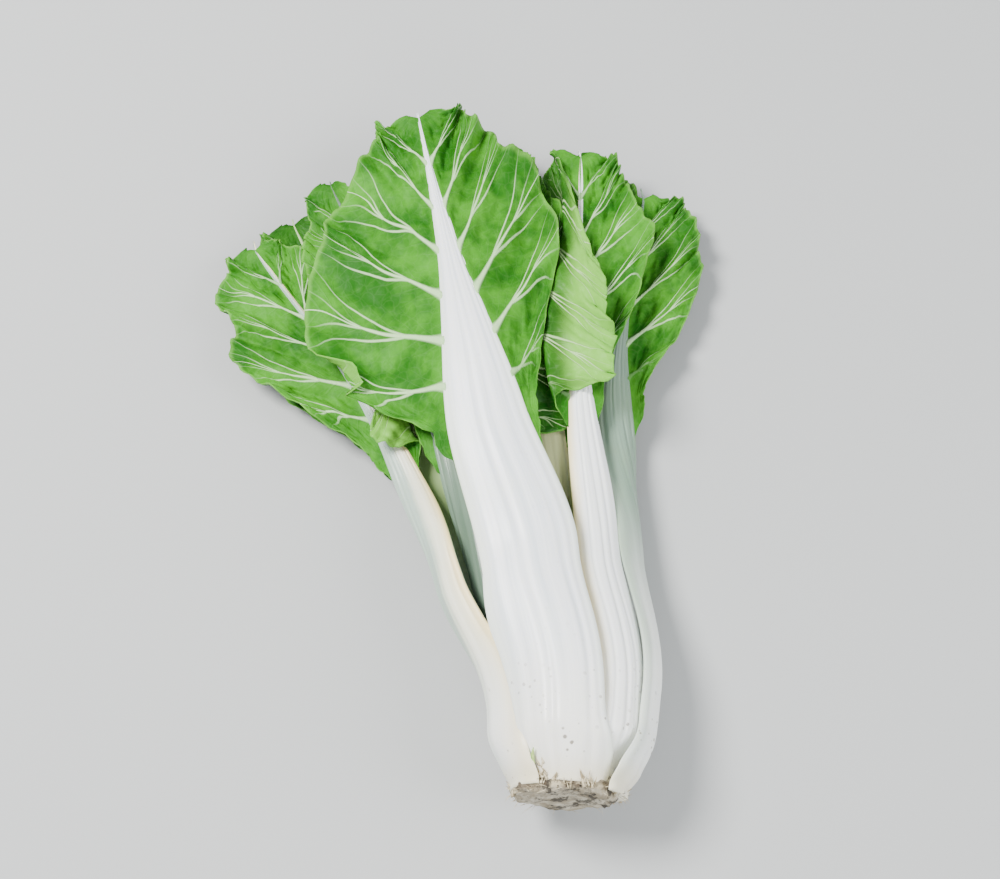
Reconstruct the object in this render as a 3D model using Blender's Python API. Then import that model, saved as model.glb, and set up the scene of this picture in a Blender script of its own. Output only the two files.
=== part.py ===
# A head of broad-stalked white chard, cut at the root crown and laid on its side.
# Ten leaves grow in rings from the crown. Each leaf has a ribbed white stalk, which runs on
# as the midrib, and a thin green blade on both sides of it, with raised veins and a waved edge.
# Metres, +Z up. The head points along +Y, and the lowest leaf lies on the plane z = 0.

import math

import bmesh
import bpy

# Driving dimensions of the head
CROWN_RADIUS = 0.0315
CROWN_CUT_Y = -0.007
HEAD_AXIS_Z = 0.0458
BULGE_Y = 0.030
MID_Y = 0.140
TOP_Y = 0.222
BASE_TURN = math.radians(14)
BEND_FROM = 0.022
BEND_TO = 0.127
BLADE_THICKNESS = 0.0011
GAP = 0.0007

# The rings of leaf bases: where the base starts, its radius there, and at the bulge above it. The leaf
# between two outer ones starts in the middle ring and comes up between them.
RINGS = {
    "outer": {"start": 0.0004, "radius": 0.0272, "bulge": 0.0410, "thickness": 0.0085},
    "middle": {"start": 0.0094, "radius": 0.0186, "bulge": 0.0306, "thickness": 0.0072},
    "between": {"start": 0.0094, "radius": 0.0186, "bulge": 0.0350, "thickness": 0.0072},
    "inner": {"start": 0.0174, "radius": 0.0103, "bulge": 0.0198, "thickness": 0.0060},
}

# The blades lie on each other in levels, which close up towards the tips and the sides
LEVEL_PITCH = 0.0105
TIP_PITCH = 0.0078
SIDE_REACH = 0.070
PITCH_FALL_FROM = 0.25
PITCH_FALL_TO = 0.44
SETTLE_FROM = 0.145
SETTLE_TO = 0.210
ATTACH_FADE = 0.022

# Midrib: its thickness past the stalk's top, as shares of that at the top
MIDRIB_PLACES = (0.285, 0.335)
MIDRIB_THICKNESS = (0.80, 0.58)
MIDRIB_END_HALF_WIDTH = 0.0016
MIDRIB_END_THICKNESS = 0.0020
MARGIN_THINNING = 0.60
RIB_HEIGHT = 0.0009

# Blade: rows follow the side veins, two rows to a vein, and the midrib ends before the last rows.
# It starts as a narrow strip beside the stalk, and short rows have less relief.
ROWS_PER_VEIN = 2
MIDRIB_SHARE = 0.88
STRIP_REACH = 0.011
SWEEP_LAST = math.radians(64)
SWEEP_TIP = math.radians(30)
RUFFLE_WAVE = 0.052
PUCKER = 0.0016
RELIEF_REACH = 0.040

# One entry for each leaf. facing is the direction that the stalk's back points to, in degrees
# from +X towards +Z. levels are the blade's level at the left, in the middle and at the right.
# wings are, at the left and at the right, the y where the blade opens from the narrow strip along
# the stalk, the length over which it does, and how steeply its first side vein rises, in degrees.
# midrib is how broad the midrib is at its two places, as shares of the stalk's breadth at its top.
LEAVES = {
    "under": {
        "ring": "outer", "base_facing": 272, "base_half_wrap": 38,
        "half_widths": (0.0178, 0.0206, 0.0180, 0.0178),
        "mid": (0.0020, 0.0024, 270), "top": (0.003, 270), "tip": (0.012, 0.448),
        "blade_from": 0.190, "vein_lengths": (0.098, 0.098), "veins": 5, "levels": (-0.1, -0.1, -0.1),
        "wings": ((0.212, 0.050, 24), (0.212, 0.050, 24)), "ruffle": 0.0022,
        "midrib": (0.48, 0.26), "ribs": 4,
    },
    "under_left": {
        "ring": "middle", "base_facing": 231, "base_half_wrap": 34,
        "half_widths": (0.0110, 0.0148, 0.0166, 0.0150),
        "mid": (-0.0358, 0.0175, 221), "top": (-0.048, 262), "tip": (-0.095, 0.405),
        "blade_from": 0.206, "vein_lengths": (0.082, 0.072), "veins": 5, "levels": (1.0, 1.0, 1.0),
        "wings": ((0.222, 0.050, 28), (0.222, 0.050, 28)), "ruffle": 0.0030,
        "midrib": (0.48, 0.26), "ribs": 3,
    },
    "under_right": {
        "ring": "middle", "base_facing": 314, "base_half_wrap": 34,
        "half_widths": (0.0110, 0.0148, 0.0166, 0.0150),
        "mid": (0.0424, 0.0195, 327), "top": (0.048, 278), "tip": (0.098, 0.418),
        "blade_from": 0.206, "vein_lengths": (0.062, 0.082), "veins": 5, "levels": (1.8, 1.8, 1.0),
        "wings": ((0.222, 0.050, 28), (0.222, 0.050, 28)), "ruffle": 0.0045,
        "midrib": (0.48, 0.26), "ribs": 3,
    },
    "left": {
        "ring": "outer", "base_facing": 179, "base_half_wrap": 39,
        "half_widths": (0.0185, 0.0272, 0.0186, 0.0125),
        "mid": (-0.0452, 0.0476, 159), "top": (-0.0600, 110), "tip": (-0.122, 0.385),
        "blade_from": 0.208, "vein_lengths": (0.078, 0.055), "veins": 5, "levels": (2.4, 2.4, 2.4),
        "wings": ((0.222, 0.052, 30), (0.226, 0.060, 34)), "ruffle": 0.0050,
        "midrib": (0.38, 0.22), "ribs": 4,
    },
    "far_right": {
        "ring": "outer", "base_facing": 3, "base_half_wrap": 30,
        "half_widths": (0.0142, 0.0210, 0.0165, 0.0140),
        "mid": (0.0715, 0.0212, 10), "top": (0.080, 72), "tip": (0.135, 0.372),
        "blade_from": 0.208, "vein_lengths": (0.060, 0.076), "veins": 5, "levels": (2.2, 2.2, 2.1),
        "wings": ((0.230, 0.060, 38), (0.226, 0.060, 34)), "ruffle": 0.0050,
        "midrib": (0.40, 0.22), "ribs": 4,
    },
    "heart": {
        "ring": "inner", "base_facing": 250, "base_half_wrap": 60,
        "half_widths": (0.0106, 0.0116, 0.0110, 0.0090),
        "mid": (-0.0020, 0.0290, 262), "top": (-0.001, 270), "tip": (-0.012, 0.365),
        "blade_from": 0.195, "vein_lengths": (0.038, 0.046), "veins": 4, "levels": (3.15, 3.15, 3.15),
        "wings": ((0.205, 0.040, 30), (0.205, 0.040, 30)), "ruffle": 0.0015,
        "midrib": (0.48, 0.26), "ribs": 3,
    },
    "left_inner": {
        "ring": "middle", "base_facing": 158, "base_half_wrap": 36,
        "half_widths": (0.0116, 0.0164, 0.0152, 0.0126),
        "mid": (-0.0215, 0.0488, 136), "top": (-0.0235, 98), "tip": (-0.066, 0.418),
        "blade_from": 0.200, "vein_lengths": (0.072, 0.046), "veins": 5, "levels": (3.6, 4.1, 4.1),
        "wings": ((0.222, 0.060, 36), (0.222, 0.060, 36)), "ruffle": 0.0035,
        "midrib": (0.48, 0.26), "ribs": 3,
    },
    "right_inner": {
        "ring": "inner", "base_facing": 72, "base_half_wrap": 56,
        "half_widths": (0.0100, 0.0128, 0.0135, 0.0120),
        "mid": (0.0265, 0.0450, 50), "top": (0.035, 76), "tip": (0.050, 0.422),
        "blade_from": 0.200, "vein_lengths": (0.066, 0.066), "veins": 5, "levels": (5.2, 5.2, 3.4),
        "wings": ((0.214, 0.050, 34), (0.214, 0.050, 34)), "ruffle": 0.0030,
        "midrib": (0.48, 0.26), "ribs": 3,
    },
    "right": {
        "ring": "between", "base_facing": 46, "base_half_wrap": 38,
        "half_widths": (0.0122, 0.0168, 0.0155, 0.0112),
        "mid": (0.0490, 0.0500, 61), "top": (0.058, 76), "tip": (0.098, 0.402),
        "blade_from": 0.210, "vein_lengths": (0.076, 0.076), "veins": 5, "levels": (6.0, 6.0, 4.3),
        "wings": ((0.222, 0.075, 46), (0.222, 0.070, 42)), "ruffle": 0.0050,
        "midrib": (0.38, 0.20), "ribs": 5,
    },
    "front": {
        "ring": "outer", "base_facing": 99, "base_half_wrap": 38,
        "half_widths": (0.0180, 0.0268, 0.0325, 0.0290),
        "mid": (0.0070, 0.0730, 90), "top": (0.0030, 90), "tip": (-0.002, 0.440),
        "blade_from": 0.192, "vein_lengths": (0.096, 0.096), "veins": 6, "levels": (4.7, 7.0, 5.4),
        "wings": ((0.224, 0.034, 20), (0.210, 0.080, 42)), "ruffle": 0.0085,
        "midrib": (0.67, 0.34), "ribs": 7,
    },
}

STALK_COLOUR = (0.83, 0.85, 0.82, 1.0)
BLADE_COLOUR = (0.13, 0.30, 0.06, 1.0)
CROWN_COLOUR = (0.42, 0.38, 0.30, 1.0)


def clear_scene():
    for thing in list(bpy.data.objects):
        bpy.data.objects.remove(thing, do_unlink=True)


def make_material(name, colour, roughness):
    material = bpy.data.materials.new(name)
    material.use_nodes = True
    shader = material.node_tree.nodes["Principled BSDF"]
    shader.inputs["Base Color"].default_value = colour
    shader.inputs["Roughness"].default_value = roughness
    shader.inputs["Metallic"].default_value = 0.0
    return material


def smoothstep(share):
    share = min(max(share, 0.0), 1.0)
    return share * share * (3.0 - 2.0 * share)


def curve_through(knots, values, place):
    """A smooth curve through values at knots that never overshoots them."""
    if place <= knots[0]:
        return values[0]
    if place >= knots[-1]:
        return values[-1]
    steps = [b - a for a, b in zip(knots, knots[1:])]
    slopes = [(b - a) / step for a, b, step in zip(values, values[1:], steps)]
    tangents = [slopes[0]]
    for before, after in zip(slopes, slopes[1:]):
        tangents.append(2 * before * after / (before + after) if before * after > 0 else 0.0)
    tangents.append(slopes[-1])
    i = max(k for k in range(len(steps)) if knots[k] <= place)
    t = (place - knots[i]) / steps[i]
    return (
        (2 * t**3 - 3 * t**2 + 1) * values[i]
        + (t**3 - 2 * t**2 + t) * steps[i] * tangents[i]
        + (3 * t**2 - 2 * t**3) * values[i + 1]
        + (t**3 - t**2) * steps[i] * tangents[i + 1]
    )


def level_height(levels, x, y):
    """Height of a blade's level over the plane that the head lies on."""
    left, middle, right = levels
    side = left if x < 0 else right
    level = middle + (side - middle) * smoothstep(abs(x) / SIDE_REACH)
    fall = smoothstep((y - PITCH_FALL_FROM) / (PITCH_FALL_TO - PITCH_FALL_FROM))
    return level * (LEVEL_PITCH + (TIP_PITCH - LEVEL_PITCH) * fall)


class Leaf:
    """The shape of one leaf: where its stalk runs, how wide and thick it is, and where its blade lies."""

    def __init__(self, form):
        self.form = form
        self.ring = RINGS[form["ring"]]
        self.start = self.ring["start"]
        self.tip_x, self.tip_y = form["tip"]
        self.knots = (self.start, BULGE_Y, MID_Y, TOP_Y, self.tip_y)
        self.rows = ROWS_PER_VEIN * form["veins"]
        self.open_rows = round(MIDRIB_SHARE * self.rows)
        self.midrib_end = self.row_y(self.open_rows) - 2 * GAP

    def row_y(self, row):
        """The y where this row of the blade leaves the midrib."""
        return self.form["blade_from"] + (self.tip_y - self.form["blade_from"]) * row / self.rows

    def facing(self, y):
        base = self.form["base_facing"]
        mid = self.form["mid"][2]
        top = self.form["top"][1]
        level = 90 if 0 < top < 180 else 270
        if abs(mid - base) > 180:
            base -= 360
        return math.radians(curve_through(self.knots, (base, base, mid, top, level), y))

    def middle_line(self, y):
        """x and z of the stalk's middle at y."""
        base = math.radians(self.form["base_facing"])
        mid_x, mid_z, _ = self.form["mid"]
        across = [r * math.cos(base) for r in (self.ring["radius"], self.ring["bulge"])]
        up = [HEAD_AXIS_Z + r * math.sin(base) for r in (self.ring["radius"], self.ring["bulge"])]
        x = curve_through(self.knots, (*across, mid_x, self.form["top"][0], self.tip_x), y)
        z = curve_through(self.knots[:3], (*up, mid_z), y)
        settled = level_height(self.form["levels"], x, y) + self.thickness(y) / 2
        share = smoothstep((y - SETTLE_FROM) / (SETTLE_TO - SETTLE_FROM))
        return x, z + (settled - z) * share

    def half_width(self, y):
        base, bulge, mid, top = self.form["half_widths"]
        knots = (*self.knots[:4], *MIDRIB_PLACES, self.midrib_end)
        narrowing = (top * share for share in self.form["midrib"])
        return curve_through(knots, (base, bulge, mid, top, *narrowing, MIDRIB_END_HALF_WIDTH), y)

    def half_wrap(self, y):
        """Half the angle of the arc that the stalk's section bends through."""
        base = math.radians(self.form["base_half_wrap"])
        return curve_through(self.knots, (base, 0.97 * base, 0.42, 0.26, 0.12), y)

    def thickness(self, y):
        base = self.ring["thickness"]
        knots = (*self.knots[:4], *MIDRIB_PLACES, self.midrib_end)
        top = 0.74 * base
        narrowing = (top * share for share in MIDRIB_THICKNESS)
        return curve_through(knots, (base, 1.04 * base, base, top, *narrowing, MIDRIB_END_THICKNESS), y)

    def section_point(self, y, turn, out):
        """A point of the stalk's section at y. turn runs from -1 to 1 across it, and beyond it over the
        blade. out is the height over the section's middle surface, along the stalk's back."""
        x, z = self.middle_line(y)
        facing = self.facing(y)
        half_wrap = self.half_wrap(y)
        radius = self.half_width(y) / half_wrap
        angle = facing + turn * half_wrap
        centre_x = x - radius * math.cos(facing)
        centre_z = z - radius * math.sin(facing)
        reach = radius + out
        return centre_x + reach * math.cos(angle), y, centre_z + reach * math.sin(angle)

    def rib(self, y, turn):
        """Height of the long ribs on the stalk's back, which fade at its edges and ends."""
        wave = math.cos(math.pi * self.form["ribs"] * turn)
        fade = (1 - turn**4) * smoothstep((y - self.start) / 0.03) * (1 - smoothstep((y - 0.2) / 0.12))
        return RIB_HEIGHT * wave * fade

    def stalk_point(self, y, turn, back):
        half = self.thickness(y) / 2 * (1 - MARGIN_THINNING * turn * turn)
        out = half + self.rib(y, turn) if back else -half
        x, y, z = self.section_point(y, turn, out)
        return x, y, max(z, 0.0)

    def vein_reach(self, along, side):
        """Length of the side vein that leaves the midrib at this share of the blade."""
        shape = 0.09 + 0.91 * max(math.sin(math.pi * (0.05 + 0.95 * along) ** 0.8), 0.0) ** 0.8
        scallop = 0.03 * math.cos(2 * math.pi * self.form["veins"] * along)
        wave = 1 + 0.03 * math.sin(17 * along + 30 * self.tip_x + side) + scallop
        hand = 0 if self.is_left(side) else 1
        wing_from, wing_span, _ = self.form["wings"][hand]
        opened = smoothstep((self.row_y(along * self.rows) - wing_from) / wing_span)
        full = self.form["vein_lengths"][hand] * shape * wave
        strip = STRIP_REACH * smoothstep(0.5 + 4.0 * along)
        return strip + (full - strip) * opened

    def is_left(self, side):
        """Whether this side of the blade lies towards -X."""
        return (side > 0) == (math.sin(self.facing(self.tip_y)) > 0)

    def blade_point(self, along, side, share):
        """A point of the blade's middle surface: along the blade, on side -1 or 1, and share of the way
        from the midrib to the blade's edge, in the direction of the side veins."""
        y = self.row_y(along * self.rows)
        edge_turn = side * (1 + GAP / self.half_width(y))
        x0, y0, z0 = self.section_point(y, edge_turn, 0.0)
        before, after = self.middle_line(y - 0.002)[0], self.middle_line(y + 0.002)[0]
        lean = math.atan2(after - before, 0.004)
        outward = -1 if self.is_left(side) else 1
        sweep_first = math.radians(self.form["wings"][0 if self.is_left(side) else 1][2])
        sweep = sweep_first + (SWEEP_LAST - sweep_first) * smoothstep(along / 0.75)
        sweep += (SWEEP_TIP - SWEEP_LAST) * smoothstep((along - 0.8) / 0.2)
        reach = self.vein_reach(along, side)
        distance = share * reach
        heading = lean + outward * (math.pi / 2 - sweep)
        x = x0 + distance * math.sin(heading)
        y = y0 + distance * math.cos(heading)
        level = level_height(self.form["levels"], x, y)
        attached = z0 - level_height(self.form["levels"], x0, y0)
        z = level + attached * math.exp(-distance / ATTACH_FADE)
        z += self.relief(along, side, share) * smoothstep(reach / RELIEF_REACH)
        return x, y, max(z, BLADE_THICKNESS / 2 + 0.0001)

    def relief(self, along, side, share):
        """The waved edge and the puckers between the veins."""
        length = self.tip_y - self.form["blade_from"]
        phase = 2 * math.pi * along * length / RUFFLE_WAVE + 1.3 * side + 40 * self.tip_x
        ruffle = self.form["ruffle"] * share**1.6 * (0.5 + 0.5 * math.sin(phase))
        between = math.sin(math.pi * along * self.form["veins"]) ** 2
        pucker = PUCKER * between * math.sin(math.pi * min(share, 1.0)) ** 0.7
        return ruffle + (-pucker if math.sin(self.facing(self.tip_y)) > 0 else pucker)


def grid_of(columns, rows):
    """A flat grid and the whole-number place of each of its points."""
    mesh = bmesh.new()
    bmesh.ops.create_grid(mesh, x_segments=columns, y_segments=rows, size=1.0)
    places = {}
    for point in mesh.verts:
        column = round((point.co.x + 1) / 2 * columns)
        row = round((point.co.y + 1) / 2 * rows)
        places[point] = (column, row)
    return mesh, places


def finish_object(name, mesh, material, smooth_angle):
    data = bpy.data.meshes.new(name)
    mesh.to_mesh(data)
    mesh.free()
    data.materials.append(material)
    data.shade_smooth()
    data.set_sharp_from_angle(angle=math.radians(smooth_angle))
    thing = bpy.data.objects.new(name, data)
    bpy.context.scene.collection.objects.link(thing)
    return thing


def stalk_places(leaf, steps):
    """The y of each section: closer together at the base, and beside the blade one for each of its rows."""
    span = leaf.form["blade_from"] - leaf.start
    below = [leaf.start + span * (i / steps) ** 1.25 for i in range(steps)]
    return below + [leaf.row_y(row) for row in range(leaf.open_rows)] + [leaf.midrib_end]


def make_stalk(name, leaf, material, steps):
    """Stalk and midrib: a grid bent round the stalk's section, welded along one edge, with closed ends."""
    across = 2 * leaf.form["ribs"] + 2
    around = 2 * across + 2
    ys = stalk_places(leaf, steps)
    mesh, places = grid_of(around, len(ys) - 1)
    ends = {0: {}, len(ys) - 1: {}}
    for point, (column, row) in places.items():
        back = column <= across or column == around
        step = column % around if back else around - 1 - column
        point.co = leaf.stalk_point(ys[row], 2 * step / across - 1, back)
        if row in ends and column < around:
            ends[row][back, step] = point
    for end in ends.values():
        for i in range(across):
            mesh.faces.new((end[True, i], end[True, i + 1], end[False, i + 1], end[False, i]))
    bmesh.ops.remove_doubles(mesh, verts=mesh.verts, dist=1e-6)
    bmesh.ops.recalc_face_normals(mesh, faces=mesh.faces)
    return finish_object(name, mesh, material, 50)


def make_blade(name, leaf, material, across):
    """Blade: a grid whose rows follow the side veins, open in the middle where the midrib lies."""
    columns = 2 * across + 1
    mesh, places = grid_of(columns, leaf.rows)
    middle = []
    for face in mesh.faces:
        face_columns = {places[point][0] for point in face.verts}
        lowest_row = min(places[point][1] for point in face.verts)
        if face_columns == {across, across + 1} and lowest_row < leaf.open_rows:
            middle.append(face)
    for point, (column, row) in places.items():
        side = -1 if column <= across else 1
        step = across - column if side < 0 else column - across - 1
        point.co = leaf.blade_point(row / leaf.rows, side, step / across)
    bmesh.ops.delete(mesh, geom=middle, context="FACES")
    bmesh.ops.triangulate(mesh, faces=mesh.faces)
    bmesh.ops.recalc_face_normals(mesh, faces=mesh.faces)
    blade = finish_object(name, mesh, material, 80)
    wall = blade.modifiers.new("thickness", "SOLIDIFY")
    wall.thickness = BLADE_THICKNESS
    wall.offset = 0.0
    return blade


def make_crown(material):
    """Root crown: a stepped cone inside the rings of leaf bases, with a rough cut face and old leaf scars."""
    steps = 28
    outer, middle, inner = (RINGS[name] for name in ("outer", "middle", "inner"))
    core = [ring["radius"] - ring["thickness"] / 2 - GAP for ring in (outer, middle, inner)]
    profile = [
        (0.0, CROWN_CUT_Y + 0.0012),
        (0.016, CROWN_CUT_Y + 0.0004),
        (0.92 * CROWN_RADIUS, CROWN_CUT_Y),
        (CROWN_RADIUS, CROWN_CUT_Y + 0.0026),
        (0.97 * CROWN_RADIUS, 0.0),
        (core[0], 0.0),
        (core[0], middle["start"] - 0.0004),
        (core[1], middle["start"] - 0.0004),
        (core[1], inner["start"] - 0.0004),
        (core[2], inner["start"] - 0.0004),
        (core[2], inner["start"] + 0.006),
        (0.0, inner["start"] + 0.008),
    ]
    mesh = bmesh.new()
    points = [mesh.verts.new((radius, y, 0.0)) for radius, y in profile]
    lines = [mesh.edges.new(pair) for pair in zip(points, points[1:])]
    bmesh.ops.spin(
        mesh, geom=points + lines, cent=(0, 0, 0), axis=(0, 1, 0), angle=2 * math.pi,
        steps=steps, use_merge=True,
    )
    bmesh.ops.remove_doubles(mesh, verts=mesh.verts, dist=1e-6)
    bmesh.ops.recalc_face_normals(mesh, faces=mesh.faces)
    for point in mesh.verts:
        turn = math.atan2(point.co.z, point.co.x)
        radius = math.hypot(point.co.x, point.co.z)
        if point.co.y < 0:
            swell = 1 + 0.030 * math.sin(3 * turn + 0.6) + 0.022 * math.sin(7 * turn + 2.0)
            point.co.x *= swell
            point.co.z *= swell
            point.co.y += 0.0012 * math.sin(5 * turn + 1.0) * radius / CROWN_RADIUS
        point.co.z += HEAD_AXIS_Z
    crown = finish_object("crown", mesh, material, 40)
    join_scars(crown, material)
    return crown


def join_scars(crown, material):
    """Stumps of the first leaves, as low lumps round the crown's rim."""
    scars = bpy.data.collections.new("scars")
    bpy.context.scene.collection.children.link(scars)
    count = 9
    for i in range(count):
        turn = 2 * math.pi * i / count + 0.25 * math.sin(5.0 * i)
        size = 0.0031 + 0.0006 * math.sin(2.3 * i)
        mesh = bmesh.new()
        bmesh.ops.create_icosphere(mesh, subdivisions=1, radius=1.0)
        for point in mesh.verts:
            along, out, up = 1.5 * size * point.co.x, 0.8 * size * point.co.y, size * point.co.z
            radius = 0.97 * CROWN_RADIUS + out
            angle = turn + along / CROWN_RADIUS
            point.co.x = radius * math.cos(angle)
            point.co.z = HEAD_AXIS_Z + radius * math.sin(angle)
            point.co.y = 0.52 * CROWN_CUT_Y + up
        lump = finish_object(f"scar_{i}", mesh, material, 40)
        scars.objects.link(lump)
        bpy.context.scene.collection.objects.unlink(lump)
    joined = crown.modifiers.new("scars", "BOOLEAN")
    joined.operation = "UNION"
    joined.operand_type = "COLLECTION"
    joined.collection = scars
    bpy.context.view_layer.update()
    graph = bpy.context.evaluated_depsgraph_get()
    union = bpy.data.meshes.new_from_object(crown.evaluated_get(graph))
    crown.modifiers.clear()
    crown.data = union
    for lump in list(scars.objects):
        bpy.data.objects.remove(lump, do_unlink=True)
    bpy.data.collections.remove(scars)


def bend_base(things):
    """Turns the crown and the stalks' bases to the right about the middle of the cut, and lets the bend
    run out up the stalks."""
    for thing in things:
        for point in thing.data.vertices:
            x, y, _ = point.co
            share = 1 - smoothstep((y - BEND_FROM) / (BEND_TO - BEND_FROM))
            turned_x = x * math.cos(BASE_TURN) + y * math.sin(BASE_TURN)
            turned_y = y * math.cos(BASE_TURN) - x * math.sin(BASE_TURN)
            point.co.x = x + share * (turned_x - x)
            point.co.y = y + share * (turned_y - y)


def centre_on_origin(things):
    """Moves the head along X and Y so that the origin lies under the middle of its bounding box."""
    bpy.context.view_layer.update()
    graph = bpy.context.evaluated_depsgraph_get()
    corners = [corner for thing in things for corner in thing.evaluated_get(graph).bound_box]
    for axis in (0, 1):
        middle = (min(c[axis] for c in corners) + max(c[axis] for c in corners)) / 2
        for thing in things:
            thing.location[axis] = -middle


def build():
    clear_scene()
    stalk_white = make_material("stalk_white", STALK_COLOUR, 0.38)
    blade_green = make_material("blade_green", BLADE_COLOUR, 0.45)
    crown_brown = make_material("crown_brown", CROWN_COLOUR, 0.90)
    things = [make_crown(crown_brown)]
    for name, form in LEAVES.items():
        leaf = Leaf(form)
        front = name == "front"
        things.append(make_stalk(f"{name}_stalk", leaf, stalk_white, 10 if front else 8))
        things.append(make_blade(f"{name}_blade", leaf, blade_green, 5 if front else 4))
    bend_base(things)
    centre_on_origin(things)


build()
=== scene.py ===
# A head of broad-stalked white chard, lying on its side and seen from above its cut crown.
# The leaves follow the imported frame's own leaves, with finer ribs, veins, puckers and skin.
import math
import random

import bmesh
import bpy
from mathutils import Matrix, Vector, noise


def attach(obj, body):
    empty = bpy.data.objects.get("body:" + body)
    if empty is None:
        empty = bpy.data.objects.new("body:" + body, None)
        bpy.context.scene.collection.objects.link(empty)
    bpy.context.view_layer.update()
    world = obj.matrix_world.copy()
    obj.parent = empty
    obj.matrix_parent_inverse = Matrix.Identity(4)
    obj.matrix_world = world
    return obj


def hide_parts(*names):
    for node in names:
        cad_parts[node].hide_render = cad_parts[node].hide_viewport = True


print("loading the frame")
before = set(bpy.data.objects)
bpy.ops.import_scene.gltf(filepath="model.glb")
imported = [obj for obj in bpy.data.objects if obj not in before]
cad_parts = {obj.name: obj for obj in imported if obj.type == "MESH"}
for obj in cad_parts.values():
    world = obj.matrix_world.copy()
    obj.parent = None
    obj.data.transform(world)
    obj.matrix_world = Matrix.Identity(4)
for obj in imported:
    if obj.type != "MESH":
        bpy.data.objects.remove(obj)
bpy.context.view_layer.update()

random.seed(11)

# y runs up the head from its crown, lengths are in metres and angles in degrees
head = {
    "axisHeight": 0.0458,
    "crownRadius": 0.0315,
    "crownCut": -0.007,
    "crownTop": 0.0254,
    "bulgeAt": 0.030,
    "midAt": 0.140,
    "topAt": 0.222,
    "baseTurn": 14.0,
    "bend": (0.022, 0.127),  # where the turn of the base begins to run out, and where it has
    "levelPitch": 0.0105,  # height of one level in the pile of blades
    "tipPitch": 0.0078,  # and of one near their tips
    "pitchFall": (0.25, 0.44),
    "sideReach": 0.070,
    "settle": (0.145, 0.210),  # where the stalks come down to the height of their level
}
# the stalks stand in rings round the axis: where one starts, how far out it stands there and at its
# bulge, and how thick it is
rings = {
    "outer": {"start": 0.0004, "radius": 0.0272, "bulge": 0.0410, "thickness": 0.0085},
    "middle": {"start": 0.0094, "radius": 0.0186, "bulge": 0.0306, "thickness": 0.0072},
    "between": {"start": 0.0094, "radius": 0.0186, "bulge": 0.0350, "thickness": 0.0072},
    "inner": {"start": 0.0174, "radius": 0.0103, "bulge": 0.0198, "thickness": 0.0060},
}


def smooth(share):
    share = min(max(share, 0.0), 1.0)
    return share * share * (3.0 - 2.0 * share)


def rising(at, start, span):
    # from 0 at start to 1 at start + span
    return smooth((at - start) / span)


def falling(at, start, span):
    return 1 - rising(at, start, span)


def between(at, low, high):
    return smooth((at - low) / (high - low))


def mix(low, high, share):
    return low + (high - low) * share


def bent(x, y):
    # the crown and the stalks' bases turn to the right, and the bend runs out up the stalks
    turn = math.radians(head["baseTurn"])
    share = 1 - between(y, *head["bend"])
    turnedX = x * math.cos(turn) + y * math.sin(turn)
    turnedY = y * math.cos(turn) - x * math.sin(turn)
    return mix(x, turnedX, share), mix(y, turnedY, share)


def alongCrown(place):
    turn = math.radians(head["baseTurn"])
    return place.x * math.sin(turn) + place.y * math.cos(turn)


# where the crown's inner end sits in the frame tells where the head's own axis runs
crownEnd = max((point.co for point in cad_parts["crown"].data.vertices), key=alongCrown)
endX, endY = bent(0.0, head["crownTop"])
axisX = crownEnd.x - endX
axisY = crownEnd.y - endY


def toFrame(x, y, z):
    x, y = bent(x, y)
    return Vector((x + axisX, y + axisY, z))


def curveThrough(knots, values, at):
    # a smooth curve that never overshoots the values it passes through
    if at <= knots[0]:
        return values[0]
    if at >= knots[-1]:
        return values[-1]
    steps = [b - a for a, b in zip(knots, knots[1:])]
    slopes = [(b - a) / step for a, b, step in zip(values, values[1:], steps)]
    tangents = [slopes[0]]
    for before, after in zip(slopes, slopes[1:]):
        tangents.append(2 * before * after / (before + after) if before * after > 0 else 0.0)
    tangents.append(slopes[-1])
    i = max(k for k in range(len(steps)) if knots[k] <= at)
    t = (at - knots[i]) / steps[i]
    return (
        (2 * t**3 - 3 * t**2 + 1) * values[i]
        + (t**3 - 2 * t**2 + t) * steps[i] * tangents[i]
        + (3 * t**2 - 2 * t**3) * values[i + 1]
        + (t**3 - t**2) * steps[i] * tangents[i + 1]
    )


def levelHeight(levels, x, y):
    left, middle, right = levels
    side = left if x < 0 else right
    level = mix(middle, side, smooth(abs(x) / head["sideReach"]))
    return level * mix(head["levelPitch"], head["tipPitch"], between(y, *head["pitchFall"]))


# how a stalk, and the midrib that it runs on as, change up the leaf
stalkRun = {
    "midribShare": 0.88,  # of the blade's length
    "rowsPerVein": 2,
    "midribShort": 0.0014,
    "midribAt": (0.285, 0.335),
    "topThickness": 0.74,  # as a share of its ring's
    "midribThickness": (0.80, 0.58),  # as shares of the top's
    "midribEnd": (0.0016, 0.0020),  # half width and thickness
    "pastEnd": (0.0004, 0.0010),
    "endSpan": 0.030,
    "bulgeWrap": 0.97,
    "halfWraps": (0.42, 0.26, 0.12),  # in radians, half way up, at the top and at the tip
}


def prepareLeaf(leaf):
    # works out what all of a leaf's rows need: where it starts and ends, and how many side veins it has
    ring = rings[leaf["ring"]]
    tipY = leaf["tip"][1]
    leaf["backUp"] = 0 < leaf["top"][1] < 180
    leaf["start"] = ring["start"]
    leaf["sideVeins"] = leaf["veins"] + (2 if leaf["backUp"] else 1)
    leaf["knots"] = (ring["start"], head["bulgeAt"], head["midAt"], head["topAt"], tipY)
    rows = stalkRun["rowsPerVein"] * leaf["veins"]
    openRow = round(stalkRun["midribShare"] * rows) / rows
    leaf["midribEnd"] = mix(leaf["bladeFrom"], tipY, openRow) - stalkRun["midribShort"]


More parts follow.
